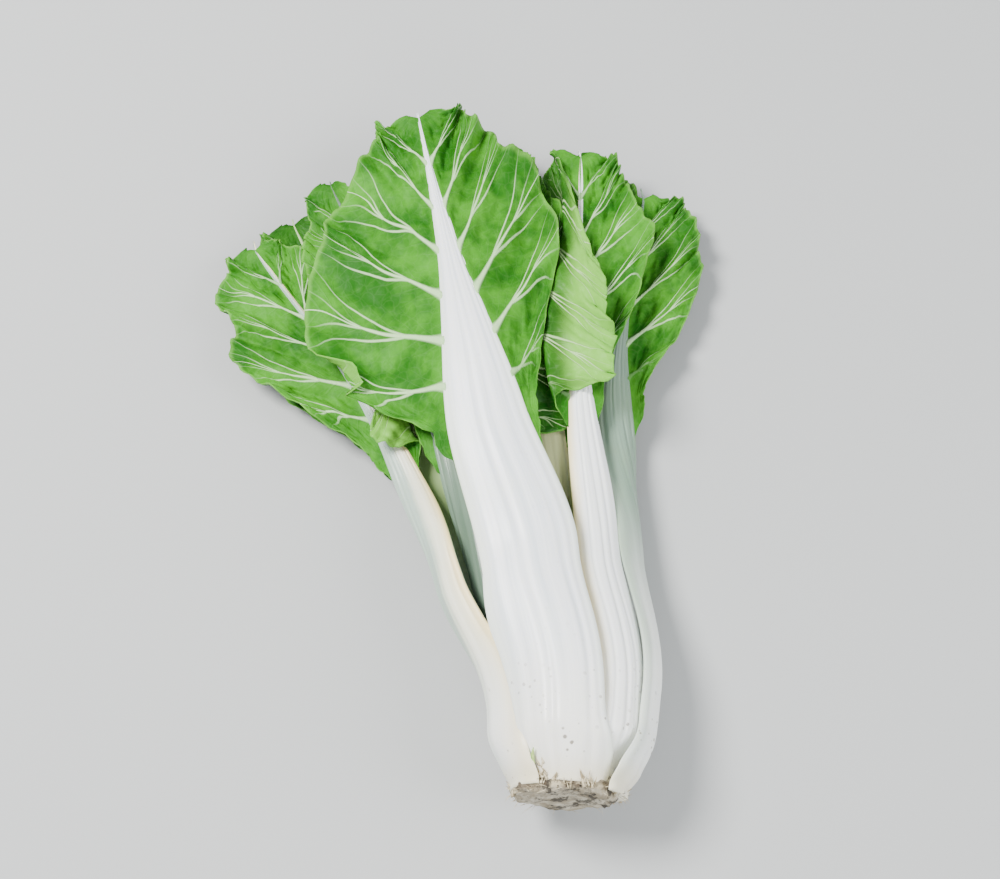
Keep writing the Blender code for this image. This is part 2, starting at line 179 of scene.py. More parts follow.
def middleX(leaf, y):
    ring = rings[leaf["ring"]]
    base = math.radians(leaf["baseFacing"])
    across = (ring["radius"] * math.cos(base), ring["bulge"] * math.cos(base))
    return curveThrough(leaf["knots"], (*across, leaf["mid"][0], leaf["top"][0], leaf["tip"][0]), y)


def sectionAt(leaf, y):
    # everything that the stalk's section needs at this y, worked out once for a whole row
    ring = rings[leaf["ring"]]
    base, mid, top = leaf["baseFacing"], leaf["mid"][2], leaf["top"][1]
    if abs(mid - base) > 180:
        base -= 360
    knots = leaf["knots"]
    facing = math.radians(curveThrough(knots, (base, base, mid, top, 90 if leaf["backUp"] else 270), y))
    midribKnots = (*knots[:4], *stalkRun["midribAt"], leaf["midribEnd"])
    endWidth, endThickness = stalkRun["midribEnd"]
    wide = leaf["halfWidths"]
    midribWide = [wide[3] * share for share in leaf["midrib"]]
    halfWidth = curveThrough(midribKnots, (*wide, *midribWide, endWidth), y)
    thick = ring["thickness"]
    high = stalkRun["topThickness"] * thick
    midribHigh = [high * share for share in stalkRun["midribThickness"]]
    thickness = curveThrough(midribKnots, (thick, 1.04 * thick, thick, high, *midribHigh, endThickness), y)
    wrap = math.radians(leaf["baseHalfWrap"])
    halfWrap = curveThrough(knots, (wrap, stalkRun["bulgeWrap"] * wrap, *stalkRun["halfWraps"]), y)
    turnedBase = math.radians(leaf["baseFacing"])
    up = [head["axisHeight"] + r * math.sin(turnedBase) for r in (ring["radius"], ring["bulge"])]
    x = middleX(leaf, y)
    z = curveThrough(knots[:3], (*up, leaf["mid"][1]), y)
    settled = levelHeight(leaf["levels"], x, y) + thickness / 2
    z = mix(z, settled, between(y, *head["settle"]))
    if y > leaf["midribEnd"]:
        past = rising(y, leaf["midribEnd"], stalkRun["endSpan"])
        pastWidth, pastThickness = stalkRun["pastEnd"]
        halfWidth = mix(endWidth, pastWidth, past)
        thickness = mix(endThickness, pastThickness, past)
    return {"y": y, "x": x, "z": z, "facing": facing, "halfWidth": halfWidth,
            "halfWrap": halfWrap, "thickness": thickness}


def sectionPoint(section, turn, out):
    radius = section["halfWidth"] / section["halfWrap"]
    angle = section["facing"] + turn * section["halfWrap"]
    reach = radius + out
    x = section["x"] - radius * math.cos(section["facing"]) + reach * math.cos(angle)
    z = section["z"] - radius * math.sin(section["facing"]) + reach * math.sin(angle)
    return x, section["y"], z


def uneven(leaf, layer, first, second):
    # from -1 to 1, another pattern for each layer of each leaf
    return noise.noise(Vector((first, second, leaf["seed"] + layer)))


def place(tree, kind, settings=None, inputs=None):
    node = tree.nodes.new(kind)
    for name, value in (settings or {}).items():
        setattr(node, name, value)
    for name, value in (inputs or {}).items():
        if isinstance(value, bpy.types.NodeSocket):
            tree.links.new(value, node.inputs[name])
        else:
            node.inputs[name].default_value = value
    return node


def maths(tree, operation, *values, clamp=False):
    inputs = dict(enumerate(values))
    node = place(tree, "ShaderNodeMath", {"operation": operation, "use_clamp": clamp}, inputs)
    return node.outputs[0]


def times(tree, first, second):
    return maths(tree, "MULTIPLY", first, second)


def plus(tree, first, second):
    return maths(tree, "ADD", first, second)


def minus(tree, first, second, clamp=False):
    return maths(tree, "SUBTRACT", first, second, clamp=clamp)


def ranged(tree, value, low, high, toLow=0.0, toHigh=1.0):
    node = place(
        tree, "ShaderNodeMapRange", {"interpolation_type": "SMOOTHSTEP"},
        {"Value": value, "From Min": low, "From Max": high, "To Min": toLow, "To Max": toHigh},
    )
    return node.outputs["Result"]


def blendColours(tree, share, first, second):
    node = place(
        tree, "ShaderNodeMix", {"data_type": "RGBA", "blend_type": "MIX"},
        {0: share, 6: first, 7: second},
    )
    return node.outputs[2]


def cloudOf(tree, where, scale, detail=2.0, roughness=0.5):
    inputs = {"Vector": where, "Scale": scale, "Detail": detail, "Roughness": roughness}
    return place(tree, "ShaderNodeTexNoise", None, inputs).outputs[0]


def splitUp(tree, vector):
    return place(tree, "ShaderNodeSeparateXYZ", None, {0: vector}).outputs


def newGroup(name, inputs, outputs):
    tree = bpy.data.node_groups.new(name, "ShaderNodeTree")
    for label, kind, value in inputs:
        socket = tree.interface.new_socket(name=label, in_out="INPUT", socket_type=kind)
        if value is not None:
            socket.default_value = value
    for label, kind in outputs:
        tree.interface.new_socket(name=label, in_out="OUTPUT", socket_type=kind)
    return tree, tree.nodes.new("NodeGroupInput").outputs, tree.nodes.new("NodeGroupOutput").inputs


def usedGroup(tree, group, inputs):
    return place(tree, "ShaderNodeGroup", {"node_tree": group}, inputs).outputs


def newMaterial(name):
    material = bpy.data.materials.new(name)
    material.use_nodes = True
    tree = material.node_tree
    return material, tree, tree.nodes["Principled BSDF"]


def dressShader(tree, shader, colour, height, strength, distance):
    # the colour and a bump of this strength and distance
    bump = place(tree, "ShaderNodeBump", None, {"Strength": strength, "Distance": distance, "Height": height})
    tree.links.new(colour, shader.inputs["Base Color"])
    tree.links.new(bump.outputs[0], shader.inputs["Normal"])


def setShader(shader, values):
    for name, value in values.items():
        shader.inputs[name].default_value = value


def makeFibreGroup():
    # long fibres that run up a stalk: the vector's X goes across them and its Y along them
    tree, given, wanted = newGroup(
        "longFibres",
        [("Vector", "NodeSocketVector", None), ("Across", "NodeSocketFloat", 40.0),
         ("Along", "NodeSocketFloat", 1.0)],
        [("Mask", "NodeSocketFloat"), ("Height", "NodeSocketFloat")],
    )
    parts = splitUp(tree, given["Vector"])
    across = times(tree, parts["X"], given["Across"])
    along = times(tree, parts["Y"], given["Along"])
    stretched = place(tree, "ShaderNodeCombineXYZ", None, {"X": across, "Y": along}).outputs[0]
    coarse = cloudOf(tree, stretched, 1.0, 3.0, 0.6)
    fine = cloudOf(tree, stretched, 3.7)
    tree.links.new(ranged(tree, coarse, 0.40, 0.68), wanted["Mask"])
    tree.links.new(plus(tree, times(tree, coarse, 0.7), times(tree, fine, 0.3)), wanted["Height"])
    return tree


# widths are shares of the way from one side vein to the next, and places are shares of the way from
# the midrib to the edge
veinPattern = {
    "width": (0.050, 0.005), "narrowing": 1.3,  # half a side vein, at the midrib and at the edge
    "flare": (0.10, 16.0),  # how much wider it leaves the midrib, and how soon that ends
    "forks": ((0.26, 0.55, 0.030), (0.58, 0.40, 0.034)),  # where each begins, its spread and width
    "slants": (6.5, -4.2, 1.1),  # of the thin veins: how close they lie outwards and aside, and how they stray
    "cells": 150.0, "waves": (120.0, 0.006),  # scale of the network, and of what bends it
}


def makeVeinGroup():
    # veins of a blade, from its UV: U counts the side veins and V runs from the midrib to the edge
    tree, given, wanted = newGroup(
        "leafVeins",
        [("UV", "NodeSocketVector", None), ("Place", "NodeSocketVector", None),
         ("Open", "NodeSocketFloat", 1.0)],
        [("Veins", "NodeSocketFloat"), ("Network", "NodeSocketFloat"), ("Height", "NodeSocketFloat")],
    )
    parts, where = splitUp(tree, given["UV"]), given["Place"]
    count, share = parts["X"], parts["Y"]
    inner = minus(tree, 1.0, share, clamp=True)

    def fromMiddle(value):
        # 0 where the value is half way between two whole numbers
        return maths(tree, "ABSOLUTE", minus(tree, maths(tree, "FRACT", value), 0.5))

    def line(away, width):
        # a soft line of this half width where away is 0
        return ranged(tree, away, times(tree, width, 0.45), times(tree, width, 1.35), 1.0, 0.0)

    def forkFrom(start, spread, wide):
        # both arms of a fork that leaves the side vein at this share and fades towards the edge
        past = minus(tree, share, start)
        away = maths(tree, "ABSOLUTE", minus(tree, fromVein, times(tree, past, spread)))
        width = plus(tree, times(tree, inner, wide), 0.006)
        fade = ranged(tree, share, 0.60, 1.0, 0.85, 0.15)
        return times(tree, line(away, width), times(tree, ranged(tree, past, -0.01, 0.03), fade))

    fromVein = fromMiddle(plus(tree, count, 0.5))
    wide, narrow = veinPattern["width"]
    flare, flareEnd = veinPattern["flare"]
    width = plus(tree, times(tree, maths(tree, "POWER", inner, veinPattern["narrowing"]), wide), narrow)
    main = line(fromVein, plus(tree, width, times(tree, maths(tree, "POWER", inner, flareEnd), flare)))
    forks = maths(tree, "MAXIMUM", *(forkFrom(*fork) for fork in veinPattern["forks"]))
    # thin veins that leave the side veins aslant, and the network between them
    outward, aside, sway = veinPattern["slants"]
    slant = plus(tree, times(tree, share, outward), times(tree, fromVein, aside))
    slant = plus(tree, slant, times(tree, cloudOf(tree, where, 28.0, 1.0), sway))
    thin = times(tree, ranged(tree, fromMiddle(slant), 0.02, 0.10, 1.0, 0.0),
                 ranged(tree, fromVein, 0.0, 0.45, 1.0, 0.25))
    waveScale, waveSize = veinPattern["waves"]
    waves = place(tree, "ShaderNodeTexNoise", None, {"Vector": where, "Scale": waveScale}).outputs["Color"]
    waves = place(tree, "ShaderNodeVectorMath", {"operation": "SCALE"}, {0: waves, "Scale": waveSize})
    wavy = place(tree, "ShaderNodeVectorMath", {"operation": "ADD"}, {0: where, 1: waves.outputs[0]})
    cells = place(tree, "ShaderNodeTexVoronoi", {"feature": "DISTANCE_TO_EDGE", "voronoi_dimensions": "2D"},
                  {"Vector": wavy.outputs[0], "Scale": veinPattern["cells"], "Randomness": 1.0})
    cells = cells.outputs["Distance"]
    veins = times(tree, maths(tree, "MAXIMUM", main, forks), given["Open"])
    # the leaf bulges between its veins, away from the back
    dome = ranged(tree, cells, 0.0, 0.42)
    height = minus(tree, times(tree, veins, 1.2), times(tree, dome, 0.22))
    tree.links.new(veins, wanted["Veins"])
    tree.links.new(maths(tree, "MAXIMUM", thin, ranged(tree, cells, 0.0, 0.10, 0.55, 0.0)), wanted["Network"])
    tree.links.new(plus(tree, height, times(tree, thin, 0.30)), wanted["Height"])
    return tree


def makeSpeckGroup():
    # scattered specks of soil
    tree, given, wanted = newGroup(
        "soilSpecks",
        [("Vector", "NodeSocketVector", None), ("Scale", "NodeSocketFloat", 200.0),
         ("Amount", "NodeSocketFloat", 0.1)],
        [("Mask", "NodeSocketFloat")],
    )
    spots = place(tree, "ShaderNodeTexVoronoi", {"feature": "F1"},
                  {"Vector": given["Vector"], "Scale": given["Scale"]}).outputs
    chance = splitUp(tree, spots["Color"])["X"]
    spotSize = times(tree, given["Amount"], maths(tree, "POWER", chance, 4.0))
    near = ranged(tree, spots["Distance"], times(tree, spotSize, 0.5), spotSize, 1.0, 0.0)
    patches = cloudOf(tree, given["Vector"], times(tree, given["Scale"], 0.12))
    tree.links.new(times(tree, near, ranged(tree, patches, 0.44, 0.60)), wanted["Mask"])
    return tree


print("making the finishes")
fibreGroup = makeFibreGroup()
veinGroup = makeVeinGroup()
speckGroup = makeSpeckGroup()

# body is the stalk's own colour, groove its greyer streaks, partly painted shade of its soft grooves, and rim
# its greener clouds. low and high tint the two margins of its back, at U 0 and at U 1, and tints is where they
# end and begin. foot is the colour of its base, and whiteTo where that runs out. The far right's and the left
# inner's finishes are darkened all over with painted shade.
stalkFinish = {
    "cool": {"body": (0.92, 0.94, 0.96, 1), "groove": (0.68, 0.74, 0.78, 1), "rim": (0.84, 0.88, 0.80, 1),
             "low": (0.80, 0.86, 0.78, 1), "high": (0.80, 0.86, 0.76, 1), "foot": (0.88, 0.87, 0.80, 1),
             "tints": (0.08, 0.30, 0.70, 0.88), "whiteTo": (0.10, 0.90)},
    "milk": {"body": (0.94, 0.96, 0.96, 1), "groove": (0.82, 0.85, 0.83, 1), "rim": (0.84, 0.86, 0.74, 1),
             "low": (0.82, 0.87, 0.80, 1), "high": (0.88, 0.72, 0.34, 1), "foot": (0.95, 0.95, 0.91, 1),
             "tints": (0.04, 0.20, 0.62, 0.88), "whiteTo": (0.10, 0.90)},
    # cream's high is painted shade: the left stalk's outer flank, turned from the light, greyed green
    "cream": {"body": (0.88, 0.87, 0.72, 1), "groove": (0.80, 0.79, 0.60, 1), "rim": (0.80, 0.82, 0.62, 1),
              "low": (0.84, 0.66, 0.27, 1), "high": (0.32, 0.44, 0.38, 1), "foot": (0.88, 0.89, 0.86, 1),
              "tints": (0.10, 0.36, 0.36, 0.54), "whiteTo": (0.20, 1.10)},
    "pale": {"body": (0.36, 0.47, 0.38, 1), "groove": (0.28, 0.38, 0.30, 1), "rim": (0.36, 0.48, 0.32, 1),
             "low": (0.30, 0.41, 0.31, 1), "high": (0.46, 0.56, 0.46, 1), "foot": (0.92, 0.93, 0.90, 1),
             "tints": (0.08, 0.30, 0.70, 0.88), "whiteTo": (0.60, 1.75)},
    "olive": {"body": (0.42, 0.44, 0.22, 1), "groove": (0.34, 0.36, 0.17, 1), "rim": (0.36, 0.42, 0.16, 1),
              "low": (0.50, 0.46, 0.20, 1), "high": (0.34, 0.40, 0.18, 1), "foot": (0.80, 0.76, 0.52, 1),
              "tints": (0.08, 0.30, 0.70, 0.88), "whiteTo": (0.60, 1.60)},
    # the far right stalk's greyed green, darkened all over with painted shade from the leaves beside and over
    # it
    "greyShaded": {"body": (0.23, 0.33, 0.25, 1), "groove": (0.17, 0.26, 0.19, 1), "rim": (0.24, 0.34, 0.20, 1),
             "low": (0.20, 0.29, 0.20, 1), "high": (0.32, 0.41, 0.32, 1), "foot": (0.92, 0.93, 0.90, 1),
             "tints": (0.08, 0.30, 0.70, 0.88), "whiteTo": (0.60, 1.75)},
    # the left inner stalk's grey-green, darkened all over with painted shade, as it lies deep between the
    # others
    "shaded": {"body": (0.15, 0.22, 0.16, 1), "groove": (0.10, 0.16, 0.11, 1), "rim": (0.16, 0.24, 0.12, 1),
               "low": (0.16, 0.24, 0.16, 1), "high": (0.15, 0.23, 0.16, 1), "foot": (0.28, 0.32, 0.24, 1),
               "tints": (0.08, 0.30, 0.70, 0.88), "whiteTo": (0.30, 1.10)},
}
# what all the stalks share: green where the blade begins, buff at the crown, and soil
stalkMarks = {"green": (0.34, 0.52, 0.16, 1), "buff": (0.72, 0.64, 0.42, 1), "soil": (0.13, 0.10, 0.06, 1)}


def makeStalkMaterial(name, finish):
    # UV: U runs round the stalk, 0 to 1 over its back; V is the height up the leaf in decimetres
    material, tree, shader = newMaterial(name)
    uv = place(tree, "ShaderNodeUVMap", {"uv_map": "leaf"}).outputs[0]
    where = place(tree, "ShaderNodeTexCoord").outputs["Object"]
    parts = splitUp(tree, uv)
    across, up = parts["X"], parts["Y"]
    bands = usedGroup(tree, fibreGroup, {"Vector": uv, "Across": 11.0, "Along": 0.45})
    fibres = usedGroup(tree, fibreGroup, {"Vector": uv, "Across": 75.0, "Along": 1.6})
    cloud = cloudOf(tree, where, 26.0, 3.0)
    # greyer bands up the stalk: its own faint streaks, partly painted shade of its soft grooves
    colour = blendColours(tree, times(tree, bands["Mask"], 0.80), finish["body"], finish["groove"])
    colour = blendColours(tree, times(tree, fibres["Mask"], 0.14), colour, finish["groove"])
    colour = blendColours(tree, ranged(tree, cloud, 0.50, 0.75, 0.0, 0.30), colour, finish["rim"])
    # each margin of the back has a tint, which wanders a little, and the foot is paler. cream's high tint is
    # painted shade on the left stalk's outer flank, and half of it stays over the foot
    wander = plus(tree, across, times(tree, minus(tree, cloud, 0.5), 0.16))
    lowFrom, lowTo, highFrom, highTo = finish["tints"]
    colour = blendColours(tree, ranged(tree, up, *finish["whiteTo"], 0.92, 0.0), colour, finish["foot"])
    fade = ranged(tree, up, 0.20, 1.20, 0.50, 1.0)
    low = times(tree, ranged(tree, wander, lowFrom, lowTo, 0.85, 0.0), fade)
    high = times(tree, ranged(tree, wander, highFrom, highTo, 0.0, 0.85), fade)
    colour = blendColours(tree, low, colour, finish["low"])
    colour = blendColours(tree, high, colour, finish["high"])
    # greener at the margins, most where the blade begins
    margin = maths(tree, "ABSOLUTE", minus(tree, across, 0.5))
    atMargin = times(tree, ranged(tree, margin, 0.40, 0.50), ranged(tree, up, 1.2, 2.0))
    colour = blendColours(tree, times(tree, atMargin, 0.80), colour, stalkMarks["green"])
    # buff and a little soiled where the stalk leaves the crown
    colour = blendColours(tree, ranged(tree, up, -0.02, 0.16, 0.60, 0.0), colour, stalkMarks["buff"])
    specks = usedGroup(tree, speckGroup, {"Vector": where, "Scale": 330.0, "Amount": 0.55})["Mask"]
    marks = times(tree, specks, ranged(tree, up, 0.0, 0.9, 0.9, 0.06))
    colour = blendColours(tree, marks, colour, stalkMarks["soil"])
    rough = plus(tree, times(tree, fibres["Height"], 0.22), 0.24)
    tree.links.new(rough, shader.inputs["Roughness"])
    height = plus(tree, bands["Height"], times(tree, fibres["Height"], 0.35))
    dressShader(tree, shader, colour, height, 0.30, 0.0010)
    setShader(shader, {"Subsurface Weight": 0.18, "Subsurface Radius": (1.0, 1.0, 0.6),
                       "Subsurface Scale": 0.003, "Specular IOR Level": 0.45})
    return material


# dark and light are the blade's own clouds, turned is the painted light on what folds over, a brighter
# green as if the rolled flap caught the light, and side is -1 where the veins lie sunk instead of raised
bladeFinish = {
    "back": {"dark": (0.012, 0.105, 0.004, 1), "light": (0.060, 0.270, 0.014, 1),
             "vein": (0.48, 0.70, 0.36, 1), "turned": (0.14, 0.40, 0.030, 1),
             "edge": (0.16, 0.42, 0.06, 1), "roughness": 0.56, "side": 1.0},
    "face": {"dark": (0.006, 0.060, 0.003, 1), "light": (0.028, 0.150, 0.008, 1),
             "vein": (0.42, 0.62, 0.28, 1), "turned": (0.20, 0.52, 0.060, 1),
             "edge": (0.12, 0.36, 0.04, 1), "roughness": 0.42, "side": -1.0},
}


def makeBladeMaterial(name, finish):
    material, tree, shader = newMaterial(name)
    uv = place(tree, "ShaderNodeUVMap", {"uv_map": "leaf"}).outputs[0]
    where = place(tree, "ShaderNodeTexCoord").outputs["Object"]
    turned = place(tree, "ShaderNodeAttribute", {"attribute_name": "turned"}).outputs["Fac"]
    opened = place(tree, "ShaderNodeAttribute", {"attribute_name": "open"}).outputs["Fac"]
    share = splitUp(tree, uv)["Y"]
    veins = usedGroup(tree, veinGroup, {"UV": uv, "Place": where, "Open": opened})
    cloud = cloudOf(tree, where, 30.0, 4.0, 0.6)
    grain = cloudOf(tree, where, 420.0)
    colour = blendColours(tree, ranged(tree, cloud, 0.34, 0.68), finish["dark"], finish["light"])
    # painted light: a folded-over flap is painted a brighter green, as if it caught the light
    colour = blendColours(tree, ranged(tree, turned, 0.15, 0.80, 0.0, 0.85), colour, finish["turned"])
    colour = blendColours(tree, ranged(tree, share, 0.955, 1.0, 0.0, 0.60), colour, finish["edge"])
    colour = blendColours(tree, ranged(tree, share, 0.0, 0.12, 0.60, 0.0), colour, finish["light"])
    colour = blendColours(tree, times(tree, veins["Network"], 0.040), colour, finish["vein"])
    colour = blendColours(tree, times(tree, veins["Veins"], 0.86), colour, finish["vein"])
    rough = plus(tree, times(tree, grain, 0.20), finish["roughness"] - 0.10)
    tree.links.new(rough, shader.inputs["Roughness"])
    height = plus(tree, times(tree, veins["Height"], finish["side"]), times(tree, grain, 0.12))
    dressShader(tree, shader, colour, height, 0.60, 0.0010)
    setShader(shader, {"Specular IOR Level": 0.10, "Subsurface Weight": 0.04,
                       "Subsurface Radius": (0.4, 1.0, 0.2), "Subsurface Scale": 0.002})
    return material


crownFinish = {
    "flesh": ((0.24, 0.20, 0.13, 1), (0.50, 0.46, 0.36, 1)), "ring": (0.17, 0.13, 0.08, 1),
    "bark": ((0.09, 0.065, 0.04, 1), (0.50, 0.43, 0.29, 1)), "dried": (0.028, 0.023, 0.017, 1),
    "pale": (0.70, 0.63, 0.45, 1), "soil": (0.02, 0.016, 0.012, 1),
}


def makeCrownMaterial():
    material, tree, shader = newMaterial("crownSkin")
    where = place(tree, "ShaderNodeTexCoord").outputs["Object"]
    centred = place(tree, "ShaderNodeMapping", {"vector_type": "TEXTURE"},
                    {"Vector": where, "Location": (axisX, axisY, head["axisHeight"]),
                     "Rotation": (0.0, 0.0, -math.radians(head["baseTurn"]))}).outputs[0]
    parts = splitUp(tree, centred)
    up = parts["Y"]
    cloud = cloudOf(tree, where, 90.0, 6.0, 0.65)
    patch = cloudOf(tree, where, 70.0, 6.0, 0.72)
    squares = [times(tree, parts[side], parts[side]) for side in ("X", "Z")]
    distance = maths(tree, "SQRT", plus(tree, *squares))
    # the cut face: buff flesh with darker rings, dried and soiled in patches
    outward = place(tree, "ShaderNodeCombineXYZ", None, {"X": times(tree, distance, 260.0)}).outputs[0]
    yearRings = cloudOf(tree, outward, 1.0, 1.0)
    flesh = blendColours(tree, ranged(tree, cloud, 0.35, 0.66), *crownFinish["flesh"])
    flesh = blendColours(tree, ranged(tree, yearRings, 0.42, 0.62, 0.0, 0.40), flesh, crownFinish["ring"])
    bark = blendColours(tree, ranged(tree, cloud, 0.36, 0.64), *crownFinish["bark"])
    colour = blendColours(tree, ranged(tree, up, -0.0056, -0.0040), flesh, bark)
    colour = blendColours(tree, ranged(tree, patch, 0.49, 0.57, 0.0, 0.90), colour, crownFinish["dried"])
    colour = blendColours(tree, ranged(tree, up, -0.0015, 0.0035, 0.0, 0.75), colour, crownFinish["pale"])
    specks = usedGroup(tree, speckGroup, {"Vector": where, "Scale": 420.0, "Amount": 0.6})["Mask"]
    colour = blendColours(tree, specks, colour, crownFinish["soil"])
    dressShader(tree, shader, colour, cloud, 0.9, 0.0015)
    setShader(shader, {"Roughness": 0.88})
    return material


def makePlainMaterial(name, dark, light, roughness):
    material, tree, shader = newMaterial(name)
    cloud = cloudOf(tree, place(tree, "ShaderNodeTexCoord").outputs["Object"], 300.0, 3.0)
    colour = blendColours(tree, ranged(tree, cloud, 0.35, 0.65), dark, light)
    dressShader(tree, shader, colour, cloud, 0.5, 0.0004)
    setShader(shader, {"Roughness": roughness})
    return material


stalkMaterials = {name: makeStalkMaterial(name + "Stalk", finish) for name, finish in stalkFinish.items()}
backMaterial = makeBladeMaterial("bladeBack", bladeFinish["back"])
faceMaterial = makeBladeMaterial("bladeFace", bladeFinish["face"])
crownMaterial = makeCrownMaterial()
fibreMaterial = makePlainMaterial("driedFibre", (0.30, 0.24, 0.14, 1), (0.68, 0.60, 0.42, 1), 0.8)
shootMaterial = makePlainMaterial("youngShoot", (0.20, 0.36, 0.07, 1), (0.45, 0.60, 0.18, 1), 0.45)


def gridOf(columns, rows):
    mesh = bmesh.new()
    mesh.loops.layers.uv.new("leaf")
    mesh.verts.layers.float.new("turned")
    mesh.verts.layers.float.new("open")
    bmesh.ops.create_grid(mesh, x_segments=columns, y_segments=rows, size=1.0)
    places = {}
    for point in mesh.verts:
        places[point] = (round((point.co.x + 1) / 2 * columns), round((point.co.y + 1) / 2 * rows))
    return mesh, places


def finishPiece(name, mesh, materials, slot, *nodes):
    data = bpy.data.meshes.new(name)
    mesh.to_mesh(data)
    mesh.free()
    data.shade_smooth()
    for material in materials:
        data.materials.append(material)
    piece = bpy.data.objects.new(name, data)
    bpy.context.scene.collection.objects.link(piece)
    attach(piece, "root")
    if nodes:
        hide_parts(*nodes)
    return piece


def creasesAt(leaf, y):
    # soft grooves between the flat facets of a stalk's back, uneven in place, width and depth
    found = []
    count = leaf["ribs"]
    for i in range(count):
        draws = [noise.noise(Vector((i * 5.3, leaf["seed"] * 7.1, k * 3.7))) for k in range(4)]
        aside, width, depth, level = draws
        middle = (2 * i + 1) / count - 1 + aside / count + 0.05 * uneven(leaf, 0, y * 8.0, i * 4.1)
        alive = 0.70 + 0.9 * uneven(leaf, 20, y * 6.0, i * 2.9)
        deep = (0.0006 + 0.0017 * abs(depth)) * alive
        found.append((middle, 0.050 + 0.10 * abs(width), deep, 0.0009 * level))
    return found


def ribAt(leaf, section, turn):
    y = section["y"]
    high = 0.0006 * uneven(leaf, 13, turn * 1.7, y * 4.0)
    high += 0.00030 * uneven(leaf, 5, turn * leaf["ribs"] * 1.5, y * 5.0)
    high += 0.00012 * uneven(leaf, 9, turn * leaf["ribs"] * 5.5, y * 8.0)
    for middle, width, depth, level in section["creases"]:
        away = (turn - middle) / width
        high += level * smooth(0.5 + away / 3) - depth * math.exp(-away * away)
    fade = (1 - turn**4) * rising(y - leaf["start"], -0.004, 0.02)
    return high * fade * mix(1.0, 0.50, rising(y, 0.20, 0.14))


# the pairs that end in At are the height where a change along the stalk starts and the length it takes
stalkForm = {
    "backSteps": 64, "faceSteps": 22, "rows": 130, "pastMidrib": 0.026, "crowding": 1.35, "sway": 0.0006,
    "thinning": (0.60, 0.86), "thinningAt": (0.15, 0.06), "marginFrom": 0.25,
    "spreadAt": (0.002, 0.034), "liftAt": (0.006, 0.034), "dropAt": (0.008, 0.024), "dropEndAt": (0.10, 0.05),
    "skirtAt": (-0.002, 0.016), "heelAt": (-0.004, 0.012), "heelEndAt": (0.016, 0.036),
}


def makeStalk(name, leaf, node):
    form = stalkForm
    backSteps, faceSteps, rows = form["backSteps"], form["faceSteps"], form["rows"]
    around = backSteps + faceSteps
    first, last = leaf["start"] - leaf["foot"], leaf["midribEnd"] + form["pastMidrib"]
    mesh, places = gridOf(around, rows)
    uvLayer = mesh.loops.layers.uv["leaf"]
    sections = []
    for row in range(rows + 1):
        share = row / rows
        section = sectionAt(leaf, mix(first, last, 0.35 * share + 0.65 * share ** form["crowding"]))
        section["creases"] = creasesAt(leaf, section["y"])
        sections.append(section)
    turns = []
    for column in range(around + 1):
        if column <= backSteps:
            turns.append((-math.cos(math.pi * column / backSteps), True))
        else:
            turns.append((math.cos(math.pi * (column - backSteps) / faceSteps), False))
    for point, (column, row) in places.items():
        section = sections[row]
        turn, back = turns[column]
        y = section["y"]
        thinning = mix(*form["thinning"], rising(y, *form["thinningAt"]))
        half = section["thickness"] / 2 * (1 - thinning * turn * turn)
        half *= max(1 - turn**12, 0.0) ** 0.5
        out = half + ribAt(leaf, section, turn) if back else -half
        # a sheath's margin spreads over its neighbour's at its foot, and may be wider or narrower above it
        spread, lift, drop, heights, more = leaf["laps"][0 if turn < 0 else 1]
        margin = rising(abs(turn), form["marginFrom"], 1 - form["marginFrom"])
        dropped = drop * (rising(y, *form["dropAt"]) * falling(y, *form["dropEndAt"]))
        out += margin * (lift * falling(y, *form["liftAt"]) + dropped)
        out += leaf["skirt"] * falling(y, *form["skirtAt"])
        out += leaf["heel"] * rising(y, *form["heelAt"]) * falling(y, *form["heelEndAt"])
        wider = 1 + margin * (spread * falling(y, *form["spreadAt"]) + curveThrough(heights, more, y))
        x, y, z = sectionPoint(section, turn * wider, out)
        sway = form["sway"] * uneven(leaf, 2, y * 14.0, turn * 1.3)
        point.co = toFrame(x + sway, y, max(z + sway, 0.0))
    for face in mesh.faces:
        for loop in face.loops:
            column, row = places[loop.vert]
            loop[uvLayer].uv = (column / backSteps, sections[row]["y"] * 10)
    bmesh.ops.remove_doubles(mesh, verts=mesh.verts, dist=1e-6)
    rims = [edge for edge in mesh.edges if edge.is_boundary]
    bmesh.ops.holes_fill(mesh, edges=rims, sides=0)
    bmesh.ops.recalc_face_normals(mesh, faces=mesh.faces)
    finishPiece(name, mesh, [stalkMaterials[leaf["finish"]]], "stalk", node)


# sweeps are the side veins' angles from straight across, along the blade and at its tip
bladeForm = {
    "across": 36, "rowsPerVein": 16, "wall": 0.0007, "lowest": 0.0006,
    "stripReach": 0.011, "attachFade": 0.022, "ruffleWave": 0.052, "reliefReach": 0.040,
    "sweepLast": 64.0, "sweepTip": 30.0, "veinHeight": 0.0012, "veinsOpenAt": (0.020, 0.030), "push": 0.0022,
}


def veinRise(count, share):
    # height of the main side veins and their forks, from 0 to 1
    away = abs((count + 0.5) % 1.0 - 0.5)
    width = 0.050 * (1 - share) ** 1.6 + 0.016
    rise = math.exp(-((away / width) ** 2))
    if share > 0.30:
        fork = abs(away - 0.42 * (share - 0.30))
        rise = max(rise, 0.6 * math.exp(-((fork / 0.030) ** 2)))
    return rise


